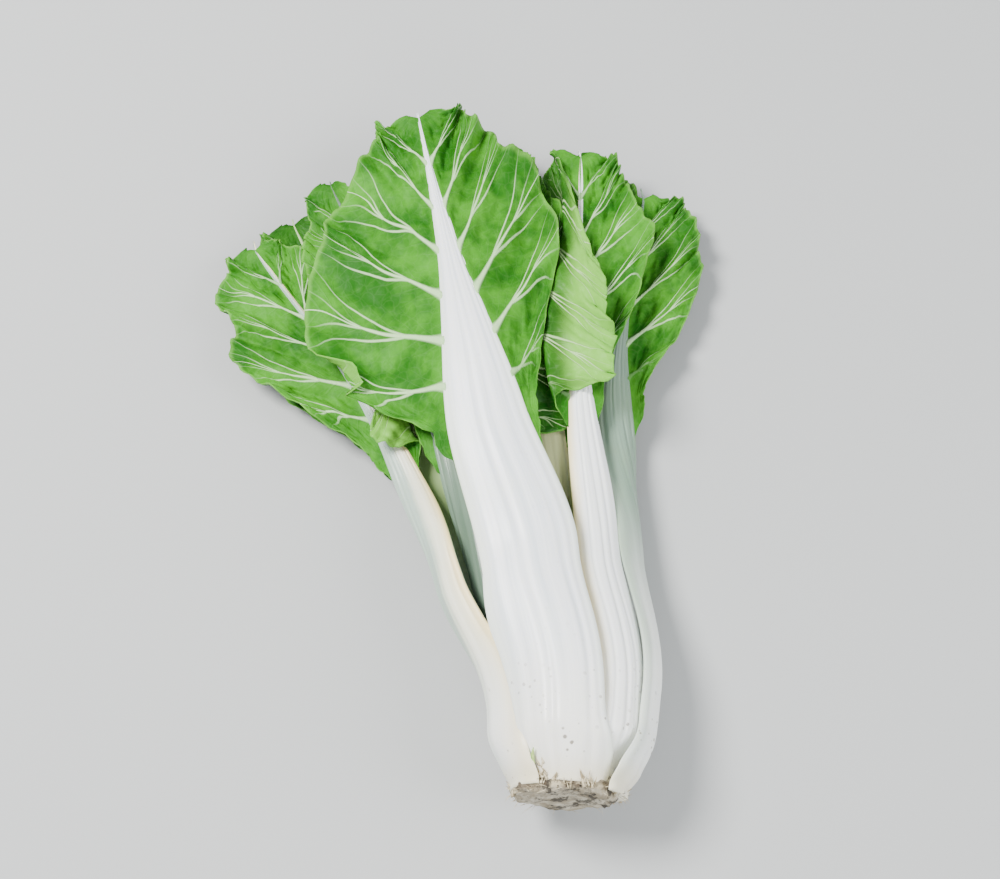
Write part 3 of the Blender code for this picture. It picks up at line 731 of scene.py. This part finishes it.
def bladeRow(leaf, along):
    # what the row of points that leaves the midrib here has in common, on the left and on the right
    y = mix(leaf["bladeFrom"], leaf["tip"][1], along)
    shape = 0.09 + 0.91 * max(math.sin(math.pi * (0.05 + 0.95 * along) ** 0.8), 0.0) ** 0.8
    wave = 1 + 0.03 * math.cos(2 * math.pi * leaf["veins"] * along)
    strip = bladeForm["stripReach"] * smooth(0.5 + 4.0 * along) * mix(0.2, 1.0, smooth(along / 0.05))
    sides = []
    for hand, (wingFrom, wingSpan, sweepFirst) in enumerate(leaf["wings"]):
        sweep = mix(sweepFirst, bladeForm["sweepLast"], smooth(along / 0.75))
        sweep += (bladeForm["sweepTip"] - bladeForm["sweepLast"]) * rising(along, 0.8, 0.2)
        side = 1 if (hand == 0) == leaf["backUp"] else -1
        swell = wave + 0.03 * math.sin(17 * along + 30 * leaf["tip"][0] + side)
        swell += 0.05 * uneven(leaf, 0, along * 14.0, side * 3.0)
        full = leaf["veinLengths"][hand] * shape * swell
        reach = mix(strip, full, rising(y, wingFrom, wingSpan))
        sides.append({"sweep": math.radians(sweep), "reach": reach})
    lean = math.atan2(middleX(leaf, y + 0.002) - middleX(leaf, y - 0.002), 0.004)
    return {"section": sectionAt(leaf, y), "lean": lean, "along": along, "sides": sides}


def foldOver(leaf, hand, along, distance, reach):
    # where the blade rolls back over itself: the new distance, the height gained, how far it is turned,
    # and how much painted light brightens its turned side
    for fold in leaf["folds"]:
        middle, span = fold["along"]
        much = smooth(1.5 * (1 - abs(along - middle) / span))
        line = reach * mix(1.0, fold["at"], much)
        past = distance - line
        if fold["hand"] != hand or much <= 0 or past <= 0:
            continue
        radius, turned = fold["radius"], math.radians(fold["angle"])
        turn = min(past / radius, turned)
        rest = past - turn * radius
        across = radius * math.sin(turn) + rest * math.cos(turn)
        lift = radius * (1 - math.cos(turn)) + rest * math.sin(turn)
        dark, light = fold["light"]
        return line + across, lift, turn / math.pi, mix(dark, light, smooth(rest / 0.030)) * turn / math.pi
    return distance, 0.0, 0.0, 0.0


def bladePoint(leaf, row, side, share):
    section, along = row["section"], row["along"]
    hand = 0 if (side > 0) == leaf["backUp"] else 1
    outward = -1 if hand == 0 else 1
    sweep, reach = row["sides"][hand]["sweep"], row["sides"][hand]["reach"]
    inside = 0.0016 / section["halfWidth"]
    x0, y0, z0 = sectionPoint(section, side * max(1 - inside, 0.0), 0.0)
    distance, lift, turned, light = foldOver(leaf, hand, along, share * reach, reach)
    bend = 0.16 * uneven(leaf, 4, along * leaf["sideVeins"] * 0.8, side * 2.0)
    heading = row["lean"] + outward * (math.pi / 2 - sweep - bend * share)
    x = x0 + distance * math.sin(heading)
    y = y0 + distance * math.cos(heading)
    attached = (z0 - levelHeight(leaf["levels"], x0, y0)) * math.exp(-distance / bladeForm["attachFade"])
    z = levelHeight(leaf["levels"], x, y) + attached + lift
    # waved edge, pleats between the side veins and blisters
    count = leaf["sideVeins"] * along**0.86
    count += 0.10 * uneven(leaf, 6 + side, count * 1.3, share * 3.0) * smooth(share * 3)
    phase = 2 * math.pi * along * (leaf["tip"][1] - leaf["bladeFrom"]) / bladeForm["ruffleWave"]
    phase += 1.3 * side + 40 * leaf["tip"][0]
    ruffle = leaf["ruffle"] * share**1.6 * (0.5 + 0.5 * math.sin(phase))
    amid = math.sin(math.pi * count) ** 2
    direction = 1 if leaf["backUp"] else -1
    pleat = -direction * leaf["pleat"][hand] * amid * math.sin(math.pi * min(0.86 * share, 1.0)) ** 0.7
    blister = leaf["blister"] * uneven(leaf, 1, count * 2.6, share * 8.0)
    blister += 0.45 * leaf["blister"] * uneven(leaf, 3, count * 6.0, share * 19.0)
    blister *= 0.25 + 0.75 * amid
    frill = leaf["frill"] * share**3 * uneven(leaf, 7, along * 34.0, side * 5.0)
    rise = direction * bladeForm["veinHeight"] * veinRise(count, share)
    vein = rise * (1 - 0.6 * share) * smooth(reach / 0.030)
    fade = smooth(reach / bladeForm["reliefReach"])
    relief = (ruffle + pleat + blister + frill) * fade * smooth(share * reach / 0.010)
    z += (relief + vein) * math.cos(math.pi * min(turned, 1.0))
    push = bladeForm["push"] * share**2 * uneven(leaf, 8, along * 40.0, share * 4.0)
    return toFrame(x + push, y + push, max(z, bladeForm["lowest"])), (count, share), light, reach


def makeBlade(name, leaf, node):
    across = bladeForm["across"]
    rows = leaf["sideVeins"] * bladeForm["rowsPerVein"]
    mesh, places = gridOf(2 * across + 1, rows)
    uvLayer = mesh.loops.layers.uv["leaf"]
    lines = [bladeRow(leaf, row / rows) for row in range(rows + 1)]
    flapLightLayer = mesh.verts.layers.float["turned"]
    openLayer = mesh.verts.layers.float["open"]
    uvs = {}
    for point, (column, row) in places.items():
        side = -1 if column <= across else 1
        step = across - column if side < 0 else column - across - 1
        # the turned attribute carries the painted light of folded flaps
        point.co, uvs[point], point[flapLightLayer], reach = bladePoint(leaf, lines[row], side, step / across)
        point[openLayer] = rising(reach, *bladeForm["veinsOpenAt"])
    middle = []
    for face in mesh.faces:
        for loop in face.loops:
            loop[uvLayer].uv = uvs[loop.vert]
        faceColumns = {places[point][0] for point in face.verts}
        low = min(places[point][1] for point in face.verts)
        if faceColumns == {across, across + 1} and lines[low]["section"]["y"] < leaf["midribEnd"]:
            middle.append(face)
    bmesh.ops.delete(mesh, geom=middle, context="FACES")
    bmesh.ops.recalc_face_normals(mesh, faces=mesh.faces)
    upward = sum(face.normal.z * face.calc_area() for face in mesh.faces) > 0
    if upward != leaf["backUp"]:
        bmesh.ops.reverse_faces(mesh, faces=mesh.faces)
    piece = finishPiece(name, mesh, [backMaterial, faceMaterial], "blade", node)
    wall = piece.modifiers.new("wall", "SOLIDIFY")
    wall.thickness = bladeForm["wall"]
    wall.offset = 0.0
    wall.material_offset = 1


# facing is where a stalk's back points, in degrees from +X towards +Z. mid is the x, height and facing
# half way up, and top the x and facing where the blade begins. midrib gives the midrib's half widths, as
# shares of the stalk's last. levels are the blade's place in the pile at the left, middle and right.
# wings are where the blade opens at the left and right, over what length, and how its first vein rises.
# laps are, for either margin of the stalk, how far it spreads and lifts at the foot, how much it lifts
# just above, and at which heights it is wider or narrower by which shares. foot is how far below its ring
# the stalk starts, and skirt and heel thicken it there and just above. A fold rolls one hand of the blade
# back over itself at this share of the way out, along gives its middle and its reach, and light how much
# painted light brightens it at the roll and beyond.
noLap = (0.0, 0.0, 0.0, (0.0, 0.1), (0.0, 0.0))
plainLeaf = {
    "midrib": (0.48, 0.26), "laps": (noLap, noLap), "foot": 0.0010, "skirt": 0.0, "heel": 0.0, "folds": [],
}


def makeLeaf(name, given, nodeName):
    leaf = {**plainLeaf, **given}
    prepareLeaf(leaf)
    makeStalk(name + "Stalk", leaf, nodeName + "_stalk")
    makeBlade(name + "Blade", leaf, nodeName + "_blade")
    print("made the leaf", name)


frontLeaf = {
    "ring": "outer", "baseFacing": 99, "baseHalfWrap": 38, "halfWidths": (0.0180, 0.0262, 0.0300, 0.0240),
    "mid": (0.0062, 0.0730, 90), "top": (-0.0022, 90), "tip": (-0.002, 0.440), "bladeFrom": 0.192,
    "veinLengths": (0.096, 0.103), "veins": 6, "levels": (4.7, 7.0, 5.4), "ruffle": 0.0085, "ribs": 6,
    "midrib": (0.60, 0.32),
    "wings": ((0.213, 0.036, 13), (0.210, 0.080, 42)), "pleat": (0.0034, 0.0060),
    "laps": ((0.46, 0.0, 0.0, (0.02, 0.05, 0.10, 0.14), (0.0, -0.10, -0.08, 0.0)),
             (0.12, 0.0, 0.0, (0.02, 0.05, 0.085, 0.125), (0.0, 0.18, 0.25, 0.0))),
    "foot": 0.0020,
    "folds": [{"hand": 0, "along": (0.22, 0.05), "at": 0.72, "radius": 0.0030, "angle": 120,
               "light": (1.0, 1.0)}],
    "finish": "cool", "seed": 1.0, "blister": 0.0030, "frill": 0.010,
}
makeLeaf("front", frontLeaf, "front")

leftLeaf = {
    "ring": "outer", "baseFacing": 179, "baseHalfWrap": 39, "halfWidths": (0.0185, 0.0272, 0.0170, 0.0086),
    "mid": (-0.0452, 0.0476, 159), "top": (-0.0580, 110), "tip": (-0.122, 0.385), "bladeFrom": 0.208,
    "veinLengths": (0.078, 0.066), "veins": 5, "levels": (2.4, 2.4, 2.4), "ruffle": 0.0050, "ribs": 4,
    "midrib": (0.38, 0.22),
    "wings": ((0.222, 0.052, 30), (0.210, 0.034, 34)), "pleat": (0.0030, 0.0030),
    "laps": ((0.50, 0.0045, -0.0036, (0.01, 0.03, 0.07, 0.10), (0.0, 0.20, 0.20, 0.0)), noLap),
    "foot": 0.0034, "skirt": 0.0012, "heel": 0.0015,
    "folds": [{"hand": 1, "along": (0.17, 0.17), "at": 0.26, "radius": 0.0032, "angle": 172,
               "light": (0.5, 1.0)}],
    "finish": "cream", "seed": 2.0, "blister": 0.0028, "frill": 0.009,
}
makeLeaf("left", leftLeaf, "left")

rightLeaf = {
    "ring": "between", "baseFacing": 46, "baseHalfWrap": 38, "halfWidths": (0.0122, 0.0168, 0.0152, 0.0096),
    "mid": (0.0490, 0.0500, 61), "top": (0.058, 76), "tip": (0.098, 0.402), "bladeFrom": 0.210,
    "veinLengths": (0.084, 0.076), "veins": 5, "levels": (6.0, 6.0, 4.3), "ruffle": 0.0050, "ribs": 5,
    "midrib": (0.38, 0.20),
    "wings": ((0.213, 0.040, 24), (0.222, 0.070, 42)), "pleat": (0.0018, 0.0045),
    "laps": ((0.0, 0.0, 0.0024, (0.01, 0.03, 0.14, 0.19), (0.0, 0.0, 0.06, 0.0)), noLap),
    "foot": 0.0050, "heel": 0.0052,
    "folds": [{"hand": 0, "along": (0.40, 0.62), "at": 0.22, "radius": 0.0045, "angle": 170,
               "light": (0.25, 1.0)}],
    "finish": "milk", "seed": 3.0, "blister": 0.0028, "frill": 0.008,
}
makeLeaf("right", rightLeaf, "right")

farRightLeaf = {
    "ring": "outer", "baseFacing": 3, "baseHalfWrap": 30, "halfWidths": (0.0142, 0.0210, 0.0160, 0.0124),
    "mid": (0.0728, 0.0212, 10), "top": (0.081, 72), "tip": (0.135, 0.372), "bladeFrom": 0.208,
    "veinLengths": (0.060, 0.076), "veins": 5, "levels": (2.2, 2.2, 2.1), "ruffle": 0.0050, "ribs": 4,
    "midrib": (0.40, 0.22),
    "wings": ((0.230, 0.060, 38), (0.226, 0.060, 34)), "pleat": (0.0030, 0.0030),
    "laps": (noLap, (0.64, 0.0050, 0.0, (0.01, 0.03, 0.07, 0.11, 0.14, 0.18, 0.21),
                     (0.0, 0.0, 0.06, 0.24, 0.50, 0.45, 0.0))),
    "foot": 0.0052, "skirt": 0.0016, "heel": 0.0038,
    "finish": "greyShaded", "seed": 4.0, "blister": 0.0030, "frill": 0.009,
}
makeLeaf("farRight", farRightLeaf, "far_right")

leftInnerLeaf = {
    "ring": "middle", "baseFacing": 158, "baseHalfWrap": 36, "halfWidths": (0.0116, 0.0164, 0.0152, 0.0126),
    "mid": (-0.0215, 0.0488, 136), "top": (-0.0235, 98), "tip": (-0.066, 0.418), "bladeFrom": 0.200,
    "veinLengths": (0.072, 0.046), "veins": 5, "levels": (3.6, 4.1, 4.1), "ruffle": 0.0035, "ribs": 3,
    "wings": ((0.222, 0.060, 36), (0.222, 0.060, 36)), "pleat": (0.0024, 0.0024),
    "finish": "shaded", "seed": 5.0, "blister": 0.0022, "frill": 0.005,
}
makeLeaf("leftInner", leftInnerLeaf, "left_inner")

rightInnerLeaf = {
    "ring": "inner", "baseFacing": 72, "baseHalfWrap": 56, "halfWidths": (0.0100, 0.0128, 0.0135, 0.0120),
    "mid": (0.0265, 0.0450, 50), "top": (0.035, 76), "tip": (0.050, 0.422), "bladeFrom": 0.200,
    "veinLengths": (0.066, 0.066), "veins": 5, "levels": (5.2, 5.2, 3.4), "ruffle": 0.0030, "ribs": 3,
    "wings": ((0.202, 0.022, 18), (0.214, 0.050, 34)), "pleat": (0.0022, 0.0022),
    "folds": [{"hand": 0, "along": (0.16, 0.42), "at": 0.12, "radius": 0.0028, "angle": 172,
               "light": (0.0, 0.1)}],
    "finish": "olive", "seed": 6.0, "blister": 0.0022, "frill": 0.004,
}
makeLeaf("rightInner", rightInnerLeaf, "right_inner")

underLeaf = {
    "ring": "outer", "baseFacing": 272, "baseHalfWrap": 38, "halfWidths": (0.0178, 0.0206, 0.0180, 0.0178),
    "mid": (0.0020, 0.0024, 270), "top": (0.003, 270), "tip": (0.012, 0.448), "bladeFrom": 0.190,
    "veinLengths": (0.098, 0.098), "veins": 5, "levels": (-0.1, -0.1, -0.1), "ruffle": 0.0022, "ribs": 4,
    "wings": ((0.212, 0.050, 24), (0.212, 0.050, 24)), "pleat": (0.0016, 0.0016),
    "finish": "pale", "seed": 7.0, "blister": 0.0014, "frill": 0.003,
}
makeLeaf("under", underLeaf, "under")

underLeftLeaf = {
    "ring": "middle", "baseFacing": 231, "baseHalfWrap": 34, "halfWidths": (0.0110, 0.0148, 0.0166, 0.0150),
    "mid": (-0.0358, 0.0175, 221), "top": (-0.048, 262), "tip": (-0.095, 0.405), "bladeFrom": 0.206,
    "veinLengths": (0.082, 0.072), "veins": 5, "levels": (1.0, 1.0, 1.0), "ruffle": 0.0030, "ribs": 3,
    "wings": ((0.222, 0.050, 28), (0.222, 0.050, 28)), "pleat": (0.0020, 0.0020),
    "finish": "pale", "seed": 8.0, "blister": 0.0020, "frill": 0.005,
}
makeLeaf("underLeft", underLeftLeaf, "under_left")

underRightLeaf = {
    "ring": "middle", "baseFacing": 314, "baseHalfWrap": 34, "halfWidths": (0.0110, 0.0148, 0.0166, 0.0150),
    "mid": (0.0424, 0.0195, 327), "top": (0.048, 278), "tip": (0.098, 0.418), "bladeFrom": 0.206,
    "veinLengths": (0.062, 0.082), "veins": 5, "levels": (1.8, 1.8, 1.0), "ruffle": 0.0045, "ribs": 3,
    "wings": ((0.222, 0.050, 28), (0.222, 0.050, 28)), "pleat": (0.0020, 0.0020),
    "finish": "pale", "seed": 9.0, "blister": 0.0020, "frill": 0.005,
}
makeLeaf("underRight", underRightLeaf, "under_right")

heartLeaf = {
    "ring": "inner", "baseFacing": 250, "baseHalfWrap": 60, "halfWidths": (0.0106, 0.0116, 0.0110, 0.0090),
    "mid": (-0.0020, 0.0290, 262), "top": (-0.001, 270), "tip": (-0.012, 0.365), "bladeFrom": 0.195,
    "veinLengths": (0.038, 0.046), "veins": 4, "levels": (3.15, 3.15, 3.15), "ruffle": 0.0015, "ribs": 3,
    "wings": ((0.205, 0.040, 30), (0.205, 0.040, 30)), "pleat": (0.0012, 0.0012),
    "finish": "cream", "seed": 10.0, "blister": 0.0012, "frill": 0.002,
}
makeLeaf("heart", heartLeaf, "heart")


# covered is how much narrower the crown is under the far right stalk's foot, at this angle in degrees
crown = {
    "turns": 150, "faceRings": 22, "sideRings": 12, "roughness": 0.0011, "rimRoughness": 0.0022,
    "coveredAt": 10.0, "coveredSpan": 62.0, "covered": 0.13, "dish": 0.0012,
}


def makeCrown():
    radius, cut, dish = head["crownRadius"], head["crownCut"], crown["dish"]
    profile = [(0.0, cut + dish)]
    for i in range(1, crown["faceRings"] + 1):
        share = i / crown["faceRings"]
        profile.append((0.93 * radius * share, cut + dish * (1 - share)))
    for i in range(1, crown["sideRings"] + 1):
        share = i / crown["sideRings"]
        bulge = math.sin(math.pi * min(share * 1.15, 1.0))
        profile.append((radius * mix(0.95, 0.985, share) + 0.0012 * bulge, mix(cut + 0.0005, 0.0014, share)))
    # the stub that the stalks stand round
    core = rings["outer"]["radius"] - rings["outer"]["thickness"] / 2 - 0.0007
    profile += [(core + 0.004, 0.0018), (core, 0.0012), (core, 0.008), (0.6 * core, 0.012),
                (0.3 * core, 0.022), (0.0, head["crownTop"])]
    mesh = bmesh.new()
    points = [mesh.verts.new((r, y, 0.0)) for r, y in profile]
    lines = [mesh.edges.new(pair) for pair in zip(points, points[1:])]
    bmesh.ops.spin(mesh, geom=points + lines, cent=(0, 0, 0), axis=(0, 1, 0), angle=2 * math.pi,
                   steps=crown["turns"], use_merge=True)
    bmesh.ops.remove_doubles(mesh, verts=mesh.verts, dist=1e-6)
    bmesh.ops.recalc_face_normals(mesh, faces=mesh.faces)
    for point in mesh.verts:
        x, y, z = point.co
        turn = math.atan2(z, x)
        r = math.hypot(x, z)
        outer = smooth((r - 0.5 * radius) / (0.4 * radius)) * smooth((0.006 - y) / 0.004)
        swell = 1 + (0.030 * math.sin(3 * turn + 0.6) + 0.022 * math.sin(7 * turn + 2.0)) * outer
        rough = noise.noise(Vector((x, y, z)) * 130.0) + 0.6 * noise.noise(Vector((x, y, z)) * 330.0)
        ragged = noise.noise(Vector((math.cos(turn) * 4.5, math.sin(turn) * 4.5, y * 60.0)))
        swell += outer * (crown["rimRoughness"] * ragged + 0.5 * crown["roughness"] * rough) / radius
        covered = smooth(1.5 * (1 - abs(math.degrees(turn) - crown["coveredAt"]) / crown["coveredSpan"]))
        swell -= crown["covered"] * covered * smooth((r - 0.2 * radius) / (0.6 * radius))
        onFace = smooth((-0.0040 - y) / 0.002)
        dip = onFace * (crown["roughness"] * rough + 0.0016 * noise.noise(Vector((x, 0, z)) * 45.0))
        jag = outer * smooth((y + 0.004) / 0.004) * 0.0022 * noise.noise(Vector((x, 0, z)) * 150.0)
        point.co = toFrame(x * swell, y + dip + jag + 0.0012 * onFace * math.sin(5 * turn + 1) * r / radius,
                           z * swell + head["axisHeight"])
    finishPiece("crownBody", mesh, [crownMaterial], "crown", "crown")


def addStrand(mesh, path, width, flat, steps, sides=4):
    # a thin closed strand along path, a function of 0 to 1 that gives points in the frame
    strand, places = gridOf(sides, steps)
    for point, (column, row) in places.items():
        share = row / steps
        here, ahead = path(share), path(min(share + 0.02, 1.02))
        along = (ahead - here).normalized()
        side = along.orthogonal().normalized()
        up = along.cross(side)
        turn = 2 * math.pi * column / sides
        size = width * (1 - 0.85 * share)
        point.co = here + side * math.cos(turn) * size + up * math.sin(turn) * size * flat
    bmesh.ops.remove_doubles(strand, verts=strand.verts, dist=1e-7)
    bmesh.ops.holes_fill(strand, edges=[edge for edge in strand.edges if edge.is_boundary], sides=0)
    bmesh.ops.recalc_face_normals(strand, faces=strand.faces)
    data = bpy.data.meshes.new("strand")
    strand.to_mesh(data)
    strand.free()
    mesh.from_mesh(data)
    bpy.data.meshes.remove(data)


# how many there are of each, and the ranges that its values are drawn from, in this order
scraps = {
    "flakes": {"count": 80, "low": (-0.0060, -0.0010), "long": (0.0025, 0.0060), "lean": (-0.10, 0.10),
               "lift": (0.0003, 0.0022), "width": (0.0006, 0.0017)},
    "hairs": {"count": 90, "low": (-0.0068, -0.0020), "long": (0.002, 0.008), "lean": (-0.22, 0.22),
              "drop": (-0.6, 0.9), "width": (0.00012, 0.00030)},
    "remains": {"count": 46, "low": (-0.0030, 0.0085), "long": (0.0015, 0.0050), "lean": (-0.12, 0.12),
                "lift": (0.0, 0.0016), "width": (0.0005, 0.0014)},
    "rootlets": {"count": 4, "y": (0.030, 0.042), "long": (0.004, 0.009), "swing": (-0.5, 0.5),
                 "width": (0.00018, 0.00032)},
    "remainsAt": (126, 9), "rootletsWithin": 14,
}


def drawn(kind):
    return [random.uniform(*span) for name, span in scraps[kind].items() if name != "count"]


def makeScraps():
    # dried scraps and broken fibres round the crown's rim, and a few rootlets at its right side
    radius = head["crownRadius"]
    mesh = bmesh.new()

    def around(turn, r, y):
        return toFrame(r * math.cos(turn), y, head["axisHeight"] + r * math.sin(turn))

    for i in range(scraps["flakes"]["count"]):
        turn = random.uniform(0, 2 * math.pi)
        low, long, lean, lift, width = drawn("flakes")

        def flakePath(share):
            return around(turn + lean * share, radius * 0.99 + lift * share * share * 2, low + long * share)

        addStrand(mesh, flakePath, width, 0.28, 4)
    for i in range(scraps["hairs"]["count"]):
        turn = random.uniform(0, 2 * math.pi)
        low, long, lean, drop, width = drawn("hairs")

        def hairPath(share):
            return around(turn + lean * share, radius * 0.985 + long * share * 0.7, low - long * drop * share)

        addStrand(mesh, hairPath, width, 1.0, 5)
    for i in range(scraps["remains"]["count"]):
        turn = math.radians(random.gauss(*scraps["remainsAt"]))
        low, long, lean, lift, width = drawn("remains")

        def remainPath(share):
            y = low + long * share
            return around(turn + lean * share, radius + 0.42 * max(y, 0.0) + lift * share, y)

        addStrand(mesh, remainPath, width, 0.4, 4)
    for i in range(scraps["rootlets"]["count"]):
        turn = math.radians(random.uniform(-scraps["rootletsWithin"], scraps["rootletsWithin"]))
        y, long, swing, width = drawn("rootlets")

        def rootPath(share):
            bow = math.sin(share * 3.0) * swing * 0.004
            return around(turn + bow * 12, 0.0436 + long * share, y + bow - 0.002 * share)

        addStrand(mesh, rootPath, width, 1.0, 8)
    finishPiece("crownScraps", mesh, [fibreMaterial], "crown")


def makeShoot():
    # a tiny green shoot in the angle between the front and the left stalk
    mesh = bmesh.new()
    turn = math.radians(126)

    def shootPath(share):
        r = 0.0362 + 0.0050 * share
        return toFrame(r * math.cos(turn - 0.10 * share), 0.0075 + 0.0070 * share,
                       head["axisHeight"] + r * math.sin(turn - 0.10 * share))

    addStrand(mesh, shootPath, 0.0022, 0.6, 8, sides=8)
    finishPiece("crownShoot", mesh, [shootMaterial], "blade")


makeCrown()
makeScraps()
makeShoot()
print("made the crown")


ground = {"half": 4.0, "drop": 0.0003, "colour": (0.42, 0.43, 0.43, 1), "roughness": 0.85}


def makeFloor():
    mesh = bmesh.new()
    bmesh.ops.create_grid(mesh, x_segments=1, y_segments=1, size=ground["half"])
    bmesh.ops.translate(mesh, verts=mesh.verts, vec=(0, 0, -ground["drop"]))
    data = bpy.data.meshes.new("floor")
    mesh.to_mesh(data)
    mesh.free()
    floor = bpy.data.objects.new("floor", data)
    bpy.context.scene.collection.objects.link(floor)
    material, tree, shader = newMaterial("paleFloor")
    setShader(shader, {"Base Color": ground["colour"], "Roughness": ground["roughness"]})
    data.materials.append(material)


lights = {
    "key": {"from": (-0.9, 0.5, 1.7), "size": 0.7, "power": 92.0, "colour": (1.0, 0.99, 0.97)},
    "fill": {"from": (1.5, -0.7, 1.2), "size": 1.5, "power": 38.0, "colour": (0.97, 0.99, 1.0)},
    "front": {"from": (-0.2, -1.6, 0.9), "size": 1.2, "power": 18.0, "colour": (1.0, 1.0, 1.0)},
}
studio = {"colour": (0.93, 0.96, 1.0, 1), "strength": 0.62, "lightsAim": (0, -0.03, 0.03)}


def makeLights():
    aim = Vector(studio["lightsAim"])
    for name, light in lights.items():
        lamp = bpy.data.lights.new(name, "AREA")
        lamp.shape = "DISK"
        lamp.size = light["size"]
        lamp.energy = light["power"]
        lamp.color = light["colour"]
        thing = bpy.data.objects.new(name, lamp)
        thing.location = light["from"]
        thing.rotation_euler = (Vector(light["from"]) - aim).to_track_quat("Z", "Y").to_euler()
        bpy.context.scene.collection.objects.link(thing)
    world = bpy.data.worlds.new("studio")
    world.use_nodes = True
    background = world.node_tree.nodes["Background"]
    background.inputs["Color"].default_value = studio["colour"]
    background.inputs["Strength"].default_value = studio["strength"]
    bpy.context.scene.world = world


camera = {
    "lens": 60.0, "sensor": 36.0, "distance": 1.02, "elevation": 68.0, "turn": 11.7,
    "aim": (-0.0010, -0.0021, 0.035),
}


def makeCamera():
    data = bpy.data.cameras.new("camera")
    data.lens = camera["lens"]
    data.sensor_width = camera["sensor"]
    thing = bpy.data.objects.new("camera", data)
    bpy.context.scene.collection.objects.link(thing)
    turn, rise = math.radians(camera["turn"]), math.radians(camera["elevation"])
    back = Vector((-math.sin(turn) * math.cos(rise), -math.cos(turn) * math.cos(rise), math.sin(rise)))
    thing.location = Vector(camera["aim"]) + back * camera["distance"]
    thing.rotation_euler = back.to_track_quat("Z", "Y").to_euler()
    bpy.context.scene.camera = thing


makeFloor()
makeLights()
makeCamera()
print("placed the floor, the lights and the camera")
